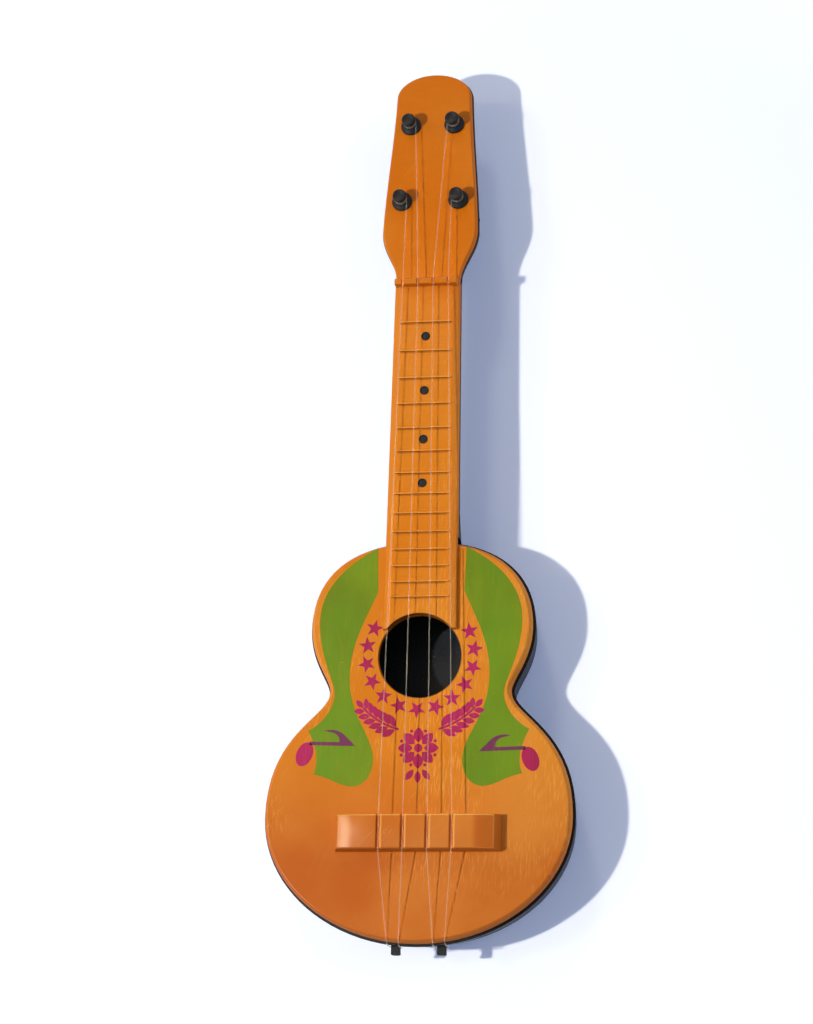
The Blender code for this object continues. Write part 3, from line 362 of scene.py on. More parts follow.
class Finish(Nodes):
    """A material being put together, with the node patterns that its colour and relief use."""

    def __init__(self, name):
        self.material = bpy.data.materials.new(name)
        self.material.use_nodes = True
        super().__init__(self.material.node_tree)
        self.shader = self.tree.nodes["Principled BSDF"]
        self.place = self.node("ShaderNodeTexCoord", output="Object")
        self.colours = bpy.context.scene.guitar_colours
        self.wear = bpy.context.scene.guitar_sizes.wear

    def noise(self, scale, stretch=(1, 1, 1), turn=0.0, detail=3.0):
        """A soft random pattern with so many features to the metre, stretched and turned about Z."""
        sockets = {"Vector": self.place, "Scale": stretch, "Rotation": (0, 0, turn)}
        where = self.node("ShaderNodeMapping", {"vector_type": "TEXTURE"}, sockets)
        return self.node("ShaderNodeTexNoise", None, {"Vector": where, "Scale": scale, "Detail": detail})

    def rise(self, value, low, high):
        """0 below low and 1 above high, smooth between; the other way round when low is the larger."""
        return self.node("ShaderNodeMapRange", {"interpolation_type": "SMOOTHSTEP"},
                         {"Value": value, "From Min": low, "From Max": high})

    def near(self, value, middle, half, soft):
        """1 within a half width of the middle, fading to 0 over a soft edge."""
        return self.rise(abs(value - middle), half + soft, half)

    def axis(self, letter):
        """One coordinate of the surface, in metres."""
        return self.node("ShaderNodeSeparateXYZ", None, {0: self.place}, letter)

    def facing(self, letter):
        """How much the surface faces along one axis, from -1 to 1."""
        normal = self.node("ShaderNodeNewGeometry", output="Normal")
        return self.node("ShaderNodeSeparateXYZ", None, {0: normal}, letter)

    def mix(self, share, first, second):
        """One colour turning into another."""
        sockets = {"Factor": share}
        for key, colour in ((6, first), (7, second)):
            sockets[key] = colour if isinstance(colour, Value) else (*colour, 1.0)
        return self.node("ShaderNodeMix", {"data_type": "RGBA"}, sockets, 2)

    def layers(self, colour, *layers):
        """A colour with others laid over it, each given with its share."""
        for share, over in layers:
            colour = self.mix(share, colour, over)
        return colour

    def scratches(self, degrees, scale, width, amount):
        """Thin broken marks that run one way."""
        line = self.noise(scale, (1, 30, 1), radians(degrees), 1.0)
        gaps = self.noise(scale * 0.25, (1, 4, 1), radians(degrees), 2.0)
        broken = self.rise(gaps, 0.62 - 0.12 * amount, 0.74)
        flat = self.rise(abs(self.facing("Z")), 0.3, 0.7)
        return self.rise(abs(line - 0.5), width, 0.0) * broken * flat

    def done(self, colour, rough, height=None, distance=0.0, **constants):
        """Feed the shader and give back the material. Height, times the distance, makes small bumps."""
        if height:
            bump = self.node("ShaderNodeBump", None, {"Height": height, "Distance": distance})
            self.feed(self.shader, {"Normal": bump})
        self.feed(self.shader, {"Base Color": colour, "Roughness": rough})
        for name, value in constants.items():
            self.shader.inputs[name.replace("_", " ")].default_value = value
        return self.material


def shade(colour, share):
    """A colour darkened to a share of itself."""
    return tuple(share * level for level in colour)


def fret_marks_and_painted_light(finish, colour, up):
    """Faint lines across the fingerboard, a painted highlight on the frets' tops, and painted shade on their
    side to the body.
    """
    rise, middle = finish.rise, finish.colours.orange
    lines = rise(finish.noise(1500, (22, 1, 1), detail=2.0), 0.5, 0.7)
    over = finish.axis("Z") - NECK_TOP_Z
    # Painted highlight on the tops of the frets.
    painted_highlight = rise(over, 0.0006, 0.0009) * rise(over, 0.0018, 0.0014)
    # Painted shade on each fret's side towards the body.
    fret_shade = 0.0
    for number in range(1, FRET_COUNT + 1):
        fret_shade = finish.near(up, fret_y(number) - 0.0008, 0.0003, 0.0004) + fret_shade
    inside = rise(abs(finish.axis("X")), NECK_HALF_AT_NUT - SHOULDER_WIDTH, 0.013)
    return finish.layers(colour, (lines * 0.12, shade(middle, 0.62)), (painted_highlight * 0.5, finish.colours.grain),
                         (fret_shade * inside * 0.55, shade(middle, 0.42)))


def bridge_painted_light(finish, colour, up):
    """Painted highlights along the bridge's top edge and on the block edges beside its slots, and painted
    shade, a deeper orange, on the top of its right end.
    """
    rise, across = finish.rise, finish.axis("X") - BRIDGE_OFFSET
    high = rise(finish.axis("Z"), BRIDGE_TOP_Z - 0.003, BRIDGE_TOP_Z - 0.0022)
    # Painted shade: a deeper orange on the top of the right end.
    right_end_shade = rise(across, 0.029, 0.033) * rise(finish.facing("Z"), 0.9, 0.97)
    # Painted highlights along the top edge and on each block's edge beside a slot.
    painted_highlight = finish.near(up, BRIDGE_Y + BRIDGE_DEPTH / 2 - 0.0016, 0.0003, 0.0005)
    for x in SLOTS:
        painted_highlight = finish.near(across, x + SLOT_WIDTH / 2 + 0.0005, 0.0003, 0.0005) + painted_highlight
    return finish.layers(colour, (right_end_shade * 0.75, shade(finish.colours.orange_tail, 0.86)),
                         (painted_highlight * high * 0.55, finish.colours.grain))


def orange_finish(name, grain_share, gloss=0.12, piece_marks_and_light=None):
    """Satin orange moulding: its tone along the guitar, light streaks, scratches and handling marks, with a
    painted sheen on the lower right, and painted shade on faces turned to the tail and on the sound hole's
    wall.

    A piece's own marks and painted light are added by the function given as piece_marks_and_light.
    """
    finish = Finish(name)
    rise, noise, wear, grain = finish.rise, finish.noise, finish.wear, finish.colours.grain
    x, up = finish.axis("X"), finish.axis("Y") - TAIL_Y
    tail, middle, head = finish.colours.orange_tail, finish.colours.orange, finish.colours.orange_head
    # Tone along the guitar, darker and redder towards the tail: partly the moulding's own tone, partly
    # painted shade.
    stops = ((0.04, tail), (0.09, tail), (0.22, middle), (0.58, middle), (0.71, head), (1.0, head))
    colour = finish.node("ShaderNodeValToRGB", {"stops": stops}, {"Fac": up * (1 / HEAD_TOP_Y)})

    cloud = noise(16, detail=4.0)
    streaks = rise(noise(1600, (1, 11, 1), radians(-4)), 0.5, 0.68)
    patchy = rise(noise(30, (1, 1.6, 1), detail=2.0) + rise(x, -0.06, 0.05) * 0.18, 0.46, 0.7)
    along = rise(up, 0.015, 0.06) * (rise(up, 0.35, 0.23) * 0.9 + 0.1)
    # Painted sheen: lighter towards the lower right of the soundboard.
    lower_right_sheen = rise(x, 0.026, 0.06) * rise(up, 0.03, 0.058)
    colour = finish.layers(colour, (rise(cloud, 0.35, 0.75) * 0.22, grain),
                           (streaks * patchy * along * grain_share, grain), (lower_right_sheen * 0.2, grain))
    if piece_marks_and_light:
        colour = piece_marks_and_light(finish, colour, up)
    marks = (finish.scratches(-38, 420, 0.01, 0.7) + finish.scratches(-24, 240, 0.005, 0.3)) * wear
    specks = rise(noise(900, detail=0.0), 0.86, 0.88)
    # Darker just above the seam with the black tub.
    seam_darkening = rise(finish.axis("Z"), SEAM_Z + 0.0022, SEAM_Z + 0.0004)
    # Painted shade on faces turned towards the tail.
    tailward_shade = rise(finish.facing("Y"), -0.35, -0.85)
    # Painted shade on the sound hole's wall.
    hole, y = bpy.context.scene.guitar_sizes.hole_radius, up - HOLE_Y
    hole_wall_shade = rise(x * x + y * y, (hole + 0.0008) ** 2, (hole + 0.0003) ** 2)
    colour = finish.layers(
        colour, (marks * 0.35, grain), (specks * (0.5 * wear), shade(middle, 0.3)),
        (seam_darkening * (0.35 * wear), shade(tail, 0.4)), (tailward_shade * 0.5, shade(middle, 0.45)),
        (hole_wall_shade * 0.75, shade(middle, 0.12)))

    upright = rise(abs(finish.facing("Z")), 0.7, 0.15)
    height = noise(1400, detail=2.0) * 0.25 + cloud * 0.3 - marks * 0.8
    rough = 0.2 + cloud * 0.1 + marks * 0.25 + upright * 0.4
    return finish.done(colour, rough, height, 0.00004, Specular_IOR_Level=gloss)


def print_finish(name, ink_name, cast):
    """Thin matt ink with broad patches of another cast, fine scratches and chips down to the orange."""
    finish = Finish(name)
    rise, noise, wear, colours = finish.rise, finish.noise, finish.wear, finish.colours
    colour = getattr(colours, ink_name)
    mottle = noise(60, (1, 2, 1), detail=4.0)
    patches = rise(noise(22, (1, 1.8, 1), detail=2.0), 0.42, 0.62)
    streaks = rise(noise(1100, (1, 20, 1), detail=2.0), 0.54, 0.72)
    marks = finish.scratches(22, 260, 0.008, 0.8) * wear
    chips = rise(noise(520, detail=2.0), 0.735, 0.755) * wear
    tinted = finish.layers(
        shade(colour, 0.78), (rise(mottle, 0.3, 0.7), colour), (patches * 0.45, tone(*cast)),
        (streaks * 0.05, colours.grain), (marks * 0.35 + chips * 0.9, colours.orange))
    height = mottle * 0.3 - marks * 0.6 - chips * 0.7
    return finish.done(tinted, 0.42 + mottle * 0.1, height, 0.00003, Specular_IOR_Level=0.08)


def black_finish(name, dust):
    """Black satin moulding with a fine grain, grey scuffs behind and some dust."""
    finish = Finish(name)
    rise, noise = finish.rise, finish.noise
    cloud = noise(30, detail=4.0)
    scuffs = finish.scratches(52, 300, 0.014, 1.0) * rise(finish.facing("Z"), 0.3, -0.3) * finish.wear
    specks = rise(noise(1300, detail=0.0), 0.79, 0.83)
    colour = finish.layers(
        finish.colours.black, (rise(cloud, 0.45, 0.8) * (0.35 * dust), tone(74, 78, 84)),
        (scuffs * 0.5, tone(120, 122, 126)), (specks * (0.6 * dust * finish.wear), tone(165, 162, 158)))
    height = noise(2600, detail=2.0) * 0.5 - scuffs * 0.6
    return finish.done(colour, 0.36 + cloud * 0.14 + scuffs * 0.2, height, 0.00003, Specular_IOR_Level=0.09)


def line_finish(name):
    """Clear nylon line, a little cloudy."""
    finish = Finish(name)
    cloud = finish.noise(400, (1, 6, 1), detail=2.0)
    colour = finish.mix(cloud * 0.3, finish.colours.line, tone(232, 222, 204))
    return finish.done(colour, 0.16 + cloud * 0.08, Transmission_Weight=0.9, IOR=1.04, Specular_IOR_Level=0.3)


def steel_finish(name):
    """Zinc-plated steel with faint turning marks and dull spots."""
    finish = Finish(name)
    cloud, steel = finish.noise(900, detail=4.0), finish.colours.steel
    colour = finish.mix(finish.rise(cloud, 0.5, 0.75) * 0.6, steel, shade(steel, 0.45))
    return finish.done(colour, 0.26 + cloud * 0.25, finish.noise(4000, (1, 8, 1)), 0.00001, Metallic=1.0)


# Each finish with its slot, its maker and the maker's own settings
FINISHES = {
    "orange_board": ("orange_plastic", orange_finish, 0.5),
    "orange_neck": ("orange_plastic", orange_finish, 0.45, 0.12, fret_marks_and_painted_light),
    "orange_bridge": ("orange_plastic", orange_finish, 0.03, 0.18, bridge_painted_light),
    "black_moulding": ("black_plastic", black_finish, 0.5),
    "black_tuner": ("black_plastic", black_finish, 0.2),
    "nylon_clear": ("nylon_line", line_finish),
    "screw_steel_plated": ("screw_steel", steel_finish),
    "green_ink": ("orange_plastic", print_finish, "green", (92, 138, 22)),
    "magenta_ink": ("orange_plastic", print_finish, "magenta", (184, 34, 98)),
    "violet_ink": ("orange_plastic", print_finish, "violet", (124, 48, 88)),
}


def add_object(name, data):
    """An object in the scene."""
    made = bpy.data.objects.new(name, data)
    bpy.context.collection.objects.link(made)
    return made


def as_mesh(shape, name):
    """Turn a shape into a mesh."""
    mesh = bpy.data.meshes.new(name)
    shape.to_mesh(mesh)
    shape.free()
    return mesh


def finish_piece(name, shape, surface, node=None, body="guitar", sharp=35.0):
    """Turn a shape into a shaded object with its finish, and tie it to the frame."""
    slot, maker, *settings = FINISHES[surface]
    bmesh.ops.recalc_face_normals(shape, faces=shape.faces)
    mesh = as_mesh(shape, name)
    mesh.transform(Matrix.Translation((0, TAIL_Y, 0)))
    mesh.shade_smooth()
    mesh.set_sharp_from_angle(angle=radians(sharp))
    mesh.materials.append(bpy.data.materials.get(surface) or maker(surface, *settings))
    made = add_object(name, mesh)
    normals = made.modifiers.new("flat_faces_stay_flat", "WEIGHTED_NORMAL")
    normals.keep_sharp = True
    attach(made, body)
    if node:
        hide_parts(node)


def loft(rings):
    """Join rings of equally many points one after the other and close both ends."""
    shape = bmesh.new()
    rows = [[shape.verts.new(point) for point in ring] for ring in rings]
    count = len(rows[0])
    for row, above in zip(rows, rows[1:]):
        for i in range(count):
            j = (i + 1) % count
            shape.faces.new((row[i], row[j], above[j], above[i]))
    shape.faces.new(rows[0][::-1])
    shape.faces.new(rows[-1])
    bmesh.ops.remove_doubles(shape, verts=shape.verts, dist=1e-6)
    bmesh.ops.recalc_face_normals(shape, faces=shape.faces)
    return shape


def arc(steps, sweep=2 * pi, start=0.0):
    """Angles in equal steps, with both ends."""
    return [start + sweep * i / steps for i in range(steps + 1)]


def circle(radius, z, sides, centre=(0.0, 0.0)):
    """Points round a circle at one height."""
    return [(centre[0] + radius * cos(a), centre[1] + radius * sin(a), z) for a in arc(sides)[:-1]]


def turned(profile, sides, centre=(0.0, 0.0)):
    """Turn (radius, height) pairs about a line along Z."""
    return loft([circle(radius, z, sides, centre) for radius, z in profile])


def rod(radius, low, high, sides, centre=(0.0, 0.0)):
    """A plain round bar, to add or to cut with."""
    return turned(((radius, low), (radius, high)), sides, centre)


def rounding(start, end, steps):
    """Levels of a quarter oval that leaves its start along Z and comes to its end level."""
    (inset, z), (far, high) = start, end
    return [(inset + (far - inset) * (1 - cos(a)), z + (high - z) * sin(a)) for a in arc(steps, pi / 2)]


def block(low, high):
    """A plain block, to add or to cut with."""
    (x, y, _), (far_x, far_y, _) = low, high
    return loft([[(x, y, z), (far_x, y, z), (far_x, far_y, z), (x, far_y, z)] for z in (low[2], high[2])])


def moved(shape, matrix):
    """A shape moved by a matrix."""
    bmesh.ops.transform(shape, matrix=matrix, verts=shape.verts)
    return shape


def together(*shapes):
    """Several shapes as one, without joining their surfaces."""
    whole = bmesh.new()
    for shape in shapes:
        mesh = as_mesh(shape, "part")
        whole.from_mesh(mesh)
        bpy.data.meshes.remove(mesh)
    return whole


def boolean(shape, operation, tools):
    """Join tools to a shape or cut them out of it, one after the other."""
    works = [add_object("workpiece", as_mesh(work, "workpiece")) for work in (shape, *tools)]
    for tool in works[1:]:
        modifier = works[0].modifiers.new("boolean", "BOOLEAN")
        modifier.operation = operation
        modifier.solver = "EXACT"
        modifier.object = tool
    graph = bpy.context.evaluated_depsgraph_get()
    graph.update()
    result = bmesh.new()
    result.from_object(works[0], graph)
    for work in works:
        mesh = work.data
        bpy.data.objects.remove(work)
        bpy.data.meshes.remove(mesh)
    return result


def soften(shape, width, steps, angle, where):
    """Round the edges that turn by more than an angle and whose ends pass a test."""
    edges = []
    for edge in shape.edges:
        if len(edge.link_faces) == 2 and edge.calc_face_angle(0) > radians(angle):
            if all(where(vert.co) for vert in edge.verts):
                edges.append(edge)
    bmesh.ops.bevel(shape, geom=edges, offset=width, segments=steps, profile=0.5, affect="EDGES",
                    clamp_overlap=True)
    return shape


def tube(points, radius, sides):
    """A closed round tube along a route, kept from twisting from ring to ring."""
    rings = []
    side = (points[1] - points[0]).normalized().orthogonal()
    for point, before, after in zip(points, points[:1] + points, points[1:] + points[-1:]):
        forward = (after - before).normalized()
        side = (side - forward * side.dot(forward)).normalized()
        other = forward.cross(side)
        rings.append([point + (side * cos(a) + other * sin(a)) * radius for a in arc(sides)[:-1]])
    return loft(rings)


def on_curve(curve, t, inset=0.0):
    """A point on a cubic curve, moved to its left by the inset."""
    a, b, c, d = map(Vector, curve)
    s = 1 - t
    along = (b - a) * 3 * s * s + (c - b) * 6 * s * t + (d - c) * 3 * t * t
    place = a * s ** 3 + b * 3 * s * s * t + c * 3 * s * t * t + d * t ** 3
    return place + Vector((-along.y, along.x)).normalized() * inset


def half_line(curves, steps, inset):
    """Points along joined curves, moved inwards by the inset."""
    points = []
    for curve, count in zip(curves, steps):
        points += [on_curve(curve, i / count, inset) for i in range(count)]
    return points + [on_curve(curves[-1], 1.0, inset)]


def both_halves(right, left, z):
    """A closed outline at one height, from its right half and the points of it that the left half has too."""
    return [(p.x, p.y, z) for p in right] + [(-p.x, p.y, z) for p in left[::-1]]


def body_form(levels):
    """A form of the body's outline through (inset, height) levels."""
    rings = []
    for inset, z in levels:
        right = half_line(BODY_CURVES, OUTLINE_STEPS, inset)
        rings.append(both_halves(right, right[1:-1], z))
    return loft(rings)


def side_inset(z):
    """How far the black side lies inside the outline below the seam."""
    return SIDE_DRAFT * (SEAM_Z - z) / SEAM_Z


def tail_y(x):
    """Where the body's lower edge is, at a distance from the middle."""
    line = half_line(BODY_CURVES, OUTLINE_STEPS, 0.0)
    for low, high in zip(line, line[1:]):
        if low.x <= abs(x) <= high.x:
            return low.y + (high.y - low.y) * (abs(x) - low.x) / (high.x - low.x)


BODY_SCREWS = [(side * place.x, place.y) for place in
               [on_curve(BODY_CURVES[number], share, SCREW_INSET) for number, share in SCREW_SPOTS]
               for side in (-1, 1)]
HEEL_SCREWS = [(side * HEEL_SCREW_X, BODY_TOP_Y - SCREW_INSET) for side in (-1, 1)]


class GUITAR_OT_soundboard(Operator):
    """Make the orange soundboard with its rounded rim, lip, bosses and sound hole"""

    bl_idname = "guitar.soundboard"
    bl_label = "Soundboard"

    def execute(self, context):
        sizes = context.scene.guitar_sizes
        lip_z = SEAM_Z - LIP_HEIGHT
        lip_outer = SHELL_WALL + side_inset(lip_z) + GAP
        lip_inner = lip_outer + LIP_THICK
        rim_z = SEAM_Z + GAP
        levels = [(lip_inner, BOARD_UNDER_Z), (lip_inner, lip_z), (lip_outer, lip_z), (lip_outer, rim_z),
                  (RIM_REVEAL + EDGE, rim_z), (RIM_REVEAL, rim_z + EDGE)]
        levels += rounding((RIM_REVEAL, BOARD_Z - RIM_DROP), (RIM_REVEAL + sizes.rim_round, BOARD_Z), 8)
        inner, outer = sizes.hole_radius, sizes.hole_radius + HOLE_EDGE
        edge = rounding((inner, BOARD_Z - HOLE_EDGE), (outer, BOARD_Z), 5)
        hole = [(inner, BOARD_UNDER_Z - OVERCUT), *edge, (outer, BOARD_Z + OVERCUT)]
        shell = boolean(body_form(levels), "DIFFERENCE", [turned(hole, HOLE_SIDES, (0, HOLE_Y))])
        bosses = [rod(BOSS_RADIUS, BOSS_LOW_Z, BOARD_UNDER_Z + 0.0005, 24, place) for place in BODY_SCREWS]
        finish_piece("soundboard", together(shell, *bosses), "orange_board", "front_shell")
        return {"FINISHED"}


def tail_hook(side):
    """Tongue with a half-round underside and a lip that keeps the string loop on."""
    x = side * HOOK_X + BRIDGE_OFFSET
    root_y = tail_y(x) + side_inset(HOOK_TOP_Z - HOOK_HEIGHT) + SHELL_WALL / 2
    lip_y = 0.0013 - HOOK_REACH
    rings = []
    for y, fall, grow in ((root_y, 0.0, 1.0), (lip_y, 0.0, 1.0), (lip_y, HOOK_DROP, 1.0),
                          (EDGE - HOOK_REACH, HOOK_DROP, 1.0), (-HOOK_REACH, HOOK_DROP - EDGE, 0.86)):
        half = HOOK_HALF * grow
        top = HOOK_TOP_Z - (1 - grow) * 0.002
        ring = [(x - half, y, top), (x + half, y, top)]
        for angle in arc(24, pi):
            depth = HOOK_HEIGHT - HOOK_HALF + (half + fall) * sin(angle)
            ring.append((x + half * cos(angle), y, min(HOOK_TOP_Z - depth, HOOK_TOP_Z - GAP)))
        rings.append(ring)
    return loft(rings)


class GUITAR_OT_tub(Operator):
    """Make the black tub of the body with its recessed screw holes and the two tail hooks"""

    bl_idname = "guitar.tub"
    bl_label = "Back and sides"

    def execute(self, context):
        outside = rounding((0.0, BACK_ROUND), (BACK_ROUND, 0.0), 10)[::-1]
        inside = rounding((SHELL_WALL, BACK_ROUND), (BACK_ROUND, SHELL_WALL), 8)
        outer, inner = [[(inset + side_inset(z), z) for inset, z in levels] for levels in (outside, inside)]
        edge = [(0.0, SEAM_Z - EDGE), (EDGE, SEAM_Z), (SHELL_WALL, SEAM_Z)]
        mouth = HEAD_RECESS + 0.0004
        recess = ((mouth, -OVERCUT), (mouth, 0.0), (HEAD_RECESS, 0.0004), (HEAD_RECESS, RECESS_DEPTH))
        places = BODY_SCREWS + HEEL_SCREWS
        recesses = [turned(recess, 32, place) for place in places]
        shell = boolean(body_form(outer + edge + inner), "DIFFERENCE", recesses)
        pads = [rod(PAD_RADIUS, RECESS_DEPTH + 0.0001, PAD_TOP_Z, 24, place) for place in places]
        whole = together(shell, tail_hook(-1), tail_hook(1), *pads)
        finish_piece("back_and_sides", whole, "black_moulding", "back_shell")
        return {"FINISHED"}


def neck_half(y):
    """Half the neck's width at a place along it."""
    share = (NUT_Y - y) / (NUT_Y - BODY_TOP_Y)
    return NECK_HALF_AT_NUT + (NECK_HALF_AT_BODY - NECK_HALF_AT_NUT) * share


def along_head(share):
    """Distance along the tilted headstock of a share of its length."""
    return share * (HEAD_TOP_Y - HEAD_START_Y) / cos(HEAD_TILT)


def on_head(x, share, height=0.0):
    """The place of a piece that stands square on the headstock."""
    return HEAD_MATRIX @ Matrix.Translation((x, along_head(share), height))


def head_plate(levels, root_length):
    """A plate of the headstock's outline through (inset, height) levels, its root put into the neck."""
    wide_x, wide_y = HEAD_WIDE[0], along_head(HEAD_WIDE[1])
    dome_x, dome_y = HEAD_DOME[0], along_head(HEAD_DOME[1])
    peak_y = along_head(1)
    third, lean = (wide_y - dome_y) / 3, (wide_x - dome_x) / 6
    rings = []
    for inset, z in levels:
        root = NECK_HALF_AT_NUT - GAP + min(inset, HEAD_REVEAL + HEAD_EDGE / 2)
        flare = ((root, 0.0), (root, HEAD_FLARE_LOW), (wide_x, wide_y - HEAD_FLARE_HIGH), (wide_x, wide_y))
        side = (flare[3], (wide_x - lean, wide_y - third), (dome_x + lean, dome_y + third), (dome_x, dome_y))
        dome = (side[3], (dome_x, dome_y + (peak_y - dome_y) * FULLNESS), (dome_x * FULLNESS, peak_y),
                (0.0, peak_y))
        right = half_line((flare, side, dome), (18, 8, 22), inset)
        right.insert(0, Vector((right[0].x, -root_length)))
        rings.append(both_halves(right, right[:-1], z))
    return moved(loft(rings), HEAD_MATRIX)


def tuner_holes(low, high):
    """Cutters for the four tuner holes of one plate."""
    return [moved(rod(SHAFT_RADIUS + GAP, low, high, 28, (x, along_head(share))), HEAD_MATRIX)
            for x, share, _ in TUNERS.values()]


def fret_y(number):
    """Place of a fret, by equal temperament."""
    return FRET_ZERO_Y - FRET_SCALE * (1 - 2 ** (-number / 12))


def marker_place(space):
    """Middle of a space between two frets."""
    return (0.0, (fret_y(space) + fret_y(space - 1)) / 2)


def fret(number, height):
    """One moulded fret with a steep side towards the body, a rounded top and lower ends."""
    middle = fret_y(number)
    half = neck_half(middle) - SHOULDER_WIDTH - GAP
    section = ((-0.00045, 0.0), (-0.00045, 0.8), (-0.00038, 0.94), (-0.00025, 1.0), (-0.00005, 1.0),
               (0.00015, 0.92), (0.00032, 0.72), (0.00048, 0.42), (0.00065, 0.0))
    foot = NECK_TOP_Z - 0.0006
    rings = []
    for x, grow in ((-half, 0.55), (0.0004 - half, 1.0), (half - 0.0004, 1.0), (half, 0.55)):
        ring = [(x, middle + 0.00065, foot), (x, middle - 0.00045, foot)]
        ring += [(x, middle + step, NECK_TOP_Z + height * grow * share) for step, share in section]
        rings.append(ring)
    return loft(rings)


def nut():
    """Ridge at the end of the fingerboard, with four round-bottomed notches."""
    low, high = NUT_Y - NUT_LENGTH / 2, NUT_Y + NUT_LENGTH / 2
    top = NECK_TOP_Z + NUT_HEIGHT
    half = neck_half(NUT_Y) - 2 * GAP
    section = ((low, JOINT_Z + 0.001), (high, JOINT_Z + 0.001), (high, top - 0.002),
               (high - 0.0004, top - 0.0009), (high - 0.001, top), (low + 0.0005, top), (low, top - 0.0005))
    ridge = loft([[(x, y, z) for y, z in section] for x in (-half, half)])
    soften(ridge, 0.0003, 3, 25, lambda co: co.z > NECK_TOP_Z)
    floor = STRING_NUT_Z - STRING_SINK
    side = [(0.0008, top + OVERCUT), (0.0008, floor + 0.0006), (0.0005, floor + 0.00015)]
    notch = [(-u, z) for u, z in side] + [(0.0, floor)] + side[::-1]
    ends = (low - 2 * OVERCUT, high + 2 * OVERCUT)
    cuts = [loft([[(x + u, y, z) for u, z in notch] for y in ends]) for x in NOTCHES]
    return boolean(ridge, "DIFFERENCE", cuts)


class GUITAR_OT_neck_front(Operator):
    """Make the orange front of the neck: fingerboard, frets, nut and headstock face"""

    bl_idname = "guitar.neck_front"
    bl_label = "Neck front"

    def execute(self, context):
        sizes = context.scene.guitar_sizes
        step_y = BODY_TOP_Y + GAP
        over_board = BOARD_Z + GAP
        shoulder_z = NECK_TOP_Z - SHOULDER_FALL
        rings = []
        for y, low in ((TONGUE_END_Y, over_board), (step_y, over_board), (step_y, JOINT_Z), (NUT_Y, JOINT_Z)):
            half = neck_half(y)
            right = [(half, low), (half, over_board), (half, shoulder_z), (half - SHOULDER_WIDTH, NECK_TOP_Z)]
            rings.append([(x, y, z) for x, z in right] + [(-x, y, z) for x, z in right[::-1]])
        board = soften(loft(rings), 0.0006, 4, 15, lambda co: co.z > shoulder_z - 0.0001)
        face = rounding((HEAD_REVEAL, -HEAD_EDGE_DROP), (HEAD_REVEAL + HEAD_EDGE, 0.0), 6)
        parts = [head_plate([(HEAD_REVEAL, -HEAD_FRONT_THICK), *face], 0.006), nut()]
        parts += [fret(number, sizes.fret_height) for number in range(1, FRET_COUNT + 1)]
        board = boolean(board, "UNION", parts)
        cuts = [rod(sizes.hole_radius + GAP, BOARD_Z - OVERCUT, NECK_TOP_Z + 2 * OVERCUT, HOLE_SIDES,
                    (0, HOLE_Y))]
        for space in MARKED_SPACES:
            cuts.append(rod(MARKER_RADIUS + 0.0001, NECK_TOP_Z - MARKER_DEPTH, NECK_TOP_Z + OVERCUT, 32,
                            marker_place(space)))
        board = boolean(board, "DIFFERENCE", cuts + tuner_holes(-HEAD_FRONT_THICK - OVERCUT, OVERCUT))
        finish_piece("neck_front_moulding", board, "orange_neck", "neck_front")
        return {"FINISHED"}


class GUITAR_OT_markers(Operator):
    """Make the round black inlays of the fingerboard"""

    bl_idname = "guitar.markers"
    bl_label = "Position markers"

    def execute(self, context):
        radius, top = MARKER_RADIUS, NECK_TOP_Z + 0.0002
        rows = ((0.0, 0.0002), (0.0001, 0.00005), (0.0003, 0.0), (0.0006, 0.0001), (0.0008, 0.0003),
                (0.0014, 0.0003), (radius * 0.9, 0.0002))
        profile = [(radius, NECK_TOP_Z - MARKER_DEPTH + GAP)] + [(radius - u, top - v) for u, v in rows]
        for space in MARKED_SPACES:
            inlay = turned(profile, 32, marker_place(space))
            finish_piece("marker_inlay_%d" % space, inlay, "black_tuner", "fret_marker_%d" % space)
        return {"FINISHED"}


def between(stations, count):
    """Smooth stations between a few given ones, each a row of numbers."""
    rows = []
    last = len(stations) - 1
    for i in range(count + 1):
        place = last * i / count
        k = min(int(place), last - 1)
        t = place - k
        near = [stations[max(0, min(last, k + j))] for j in (-1, 0, 1, 2)]
        rows.append([b + 0.5 * t * (c - a + t * (2 * a - 5 * b + 4 * c - d + t * (3 * (b - c) + d - a)))
                     for a, b, c, d in zip(*near)])
    return rows


def neck_ring(y, depth, squareness):
    """A section of the neck's back: flat on top, rounded below, leaning with the body's side at the heel."""
    half = min(neck_half(y), NECK_HALF_AT_BODY) - NECK_BACK_INSET
    top = JOINT_Z - max(0.0, y - HEAD_START_Y) * tan(HEAD_TILT) - GAP
    if y > HEAD_START_Y:
        top -= HEAD_BACK_THICK / 2
    lean = max(0.0, 1 - (y - BODY_TOP_Y) / 0.006)
    power = 2.0 / squareness
    ring = []
    for angle in arc(32, pi):
        z = top - depth * abs(sin(angle)) ** power
        x = half * copysign(abs(cos(angle)) ** power, cos(angle))
        ring.append(Vector((x, y, z)))
        ring[-1].y -= side_inset(min(ring[-1].z, SEAM_Z)) * lean
    return ring


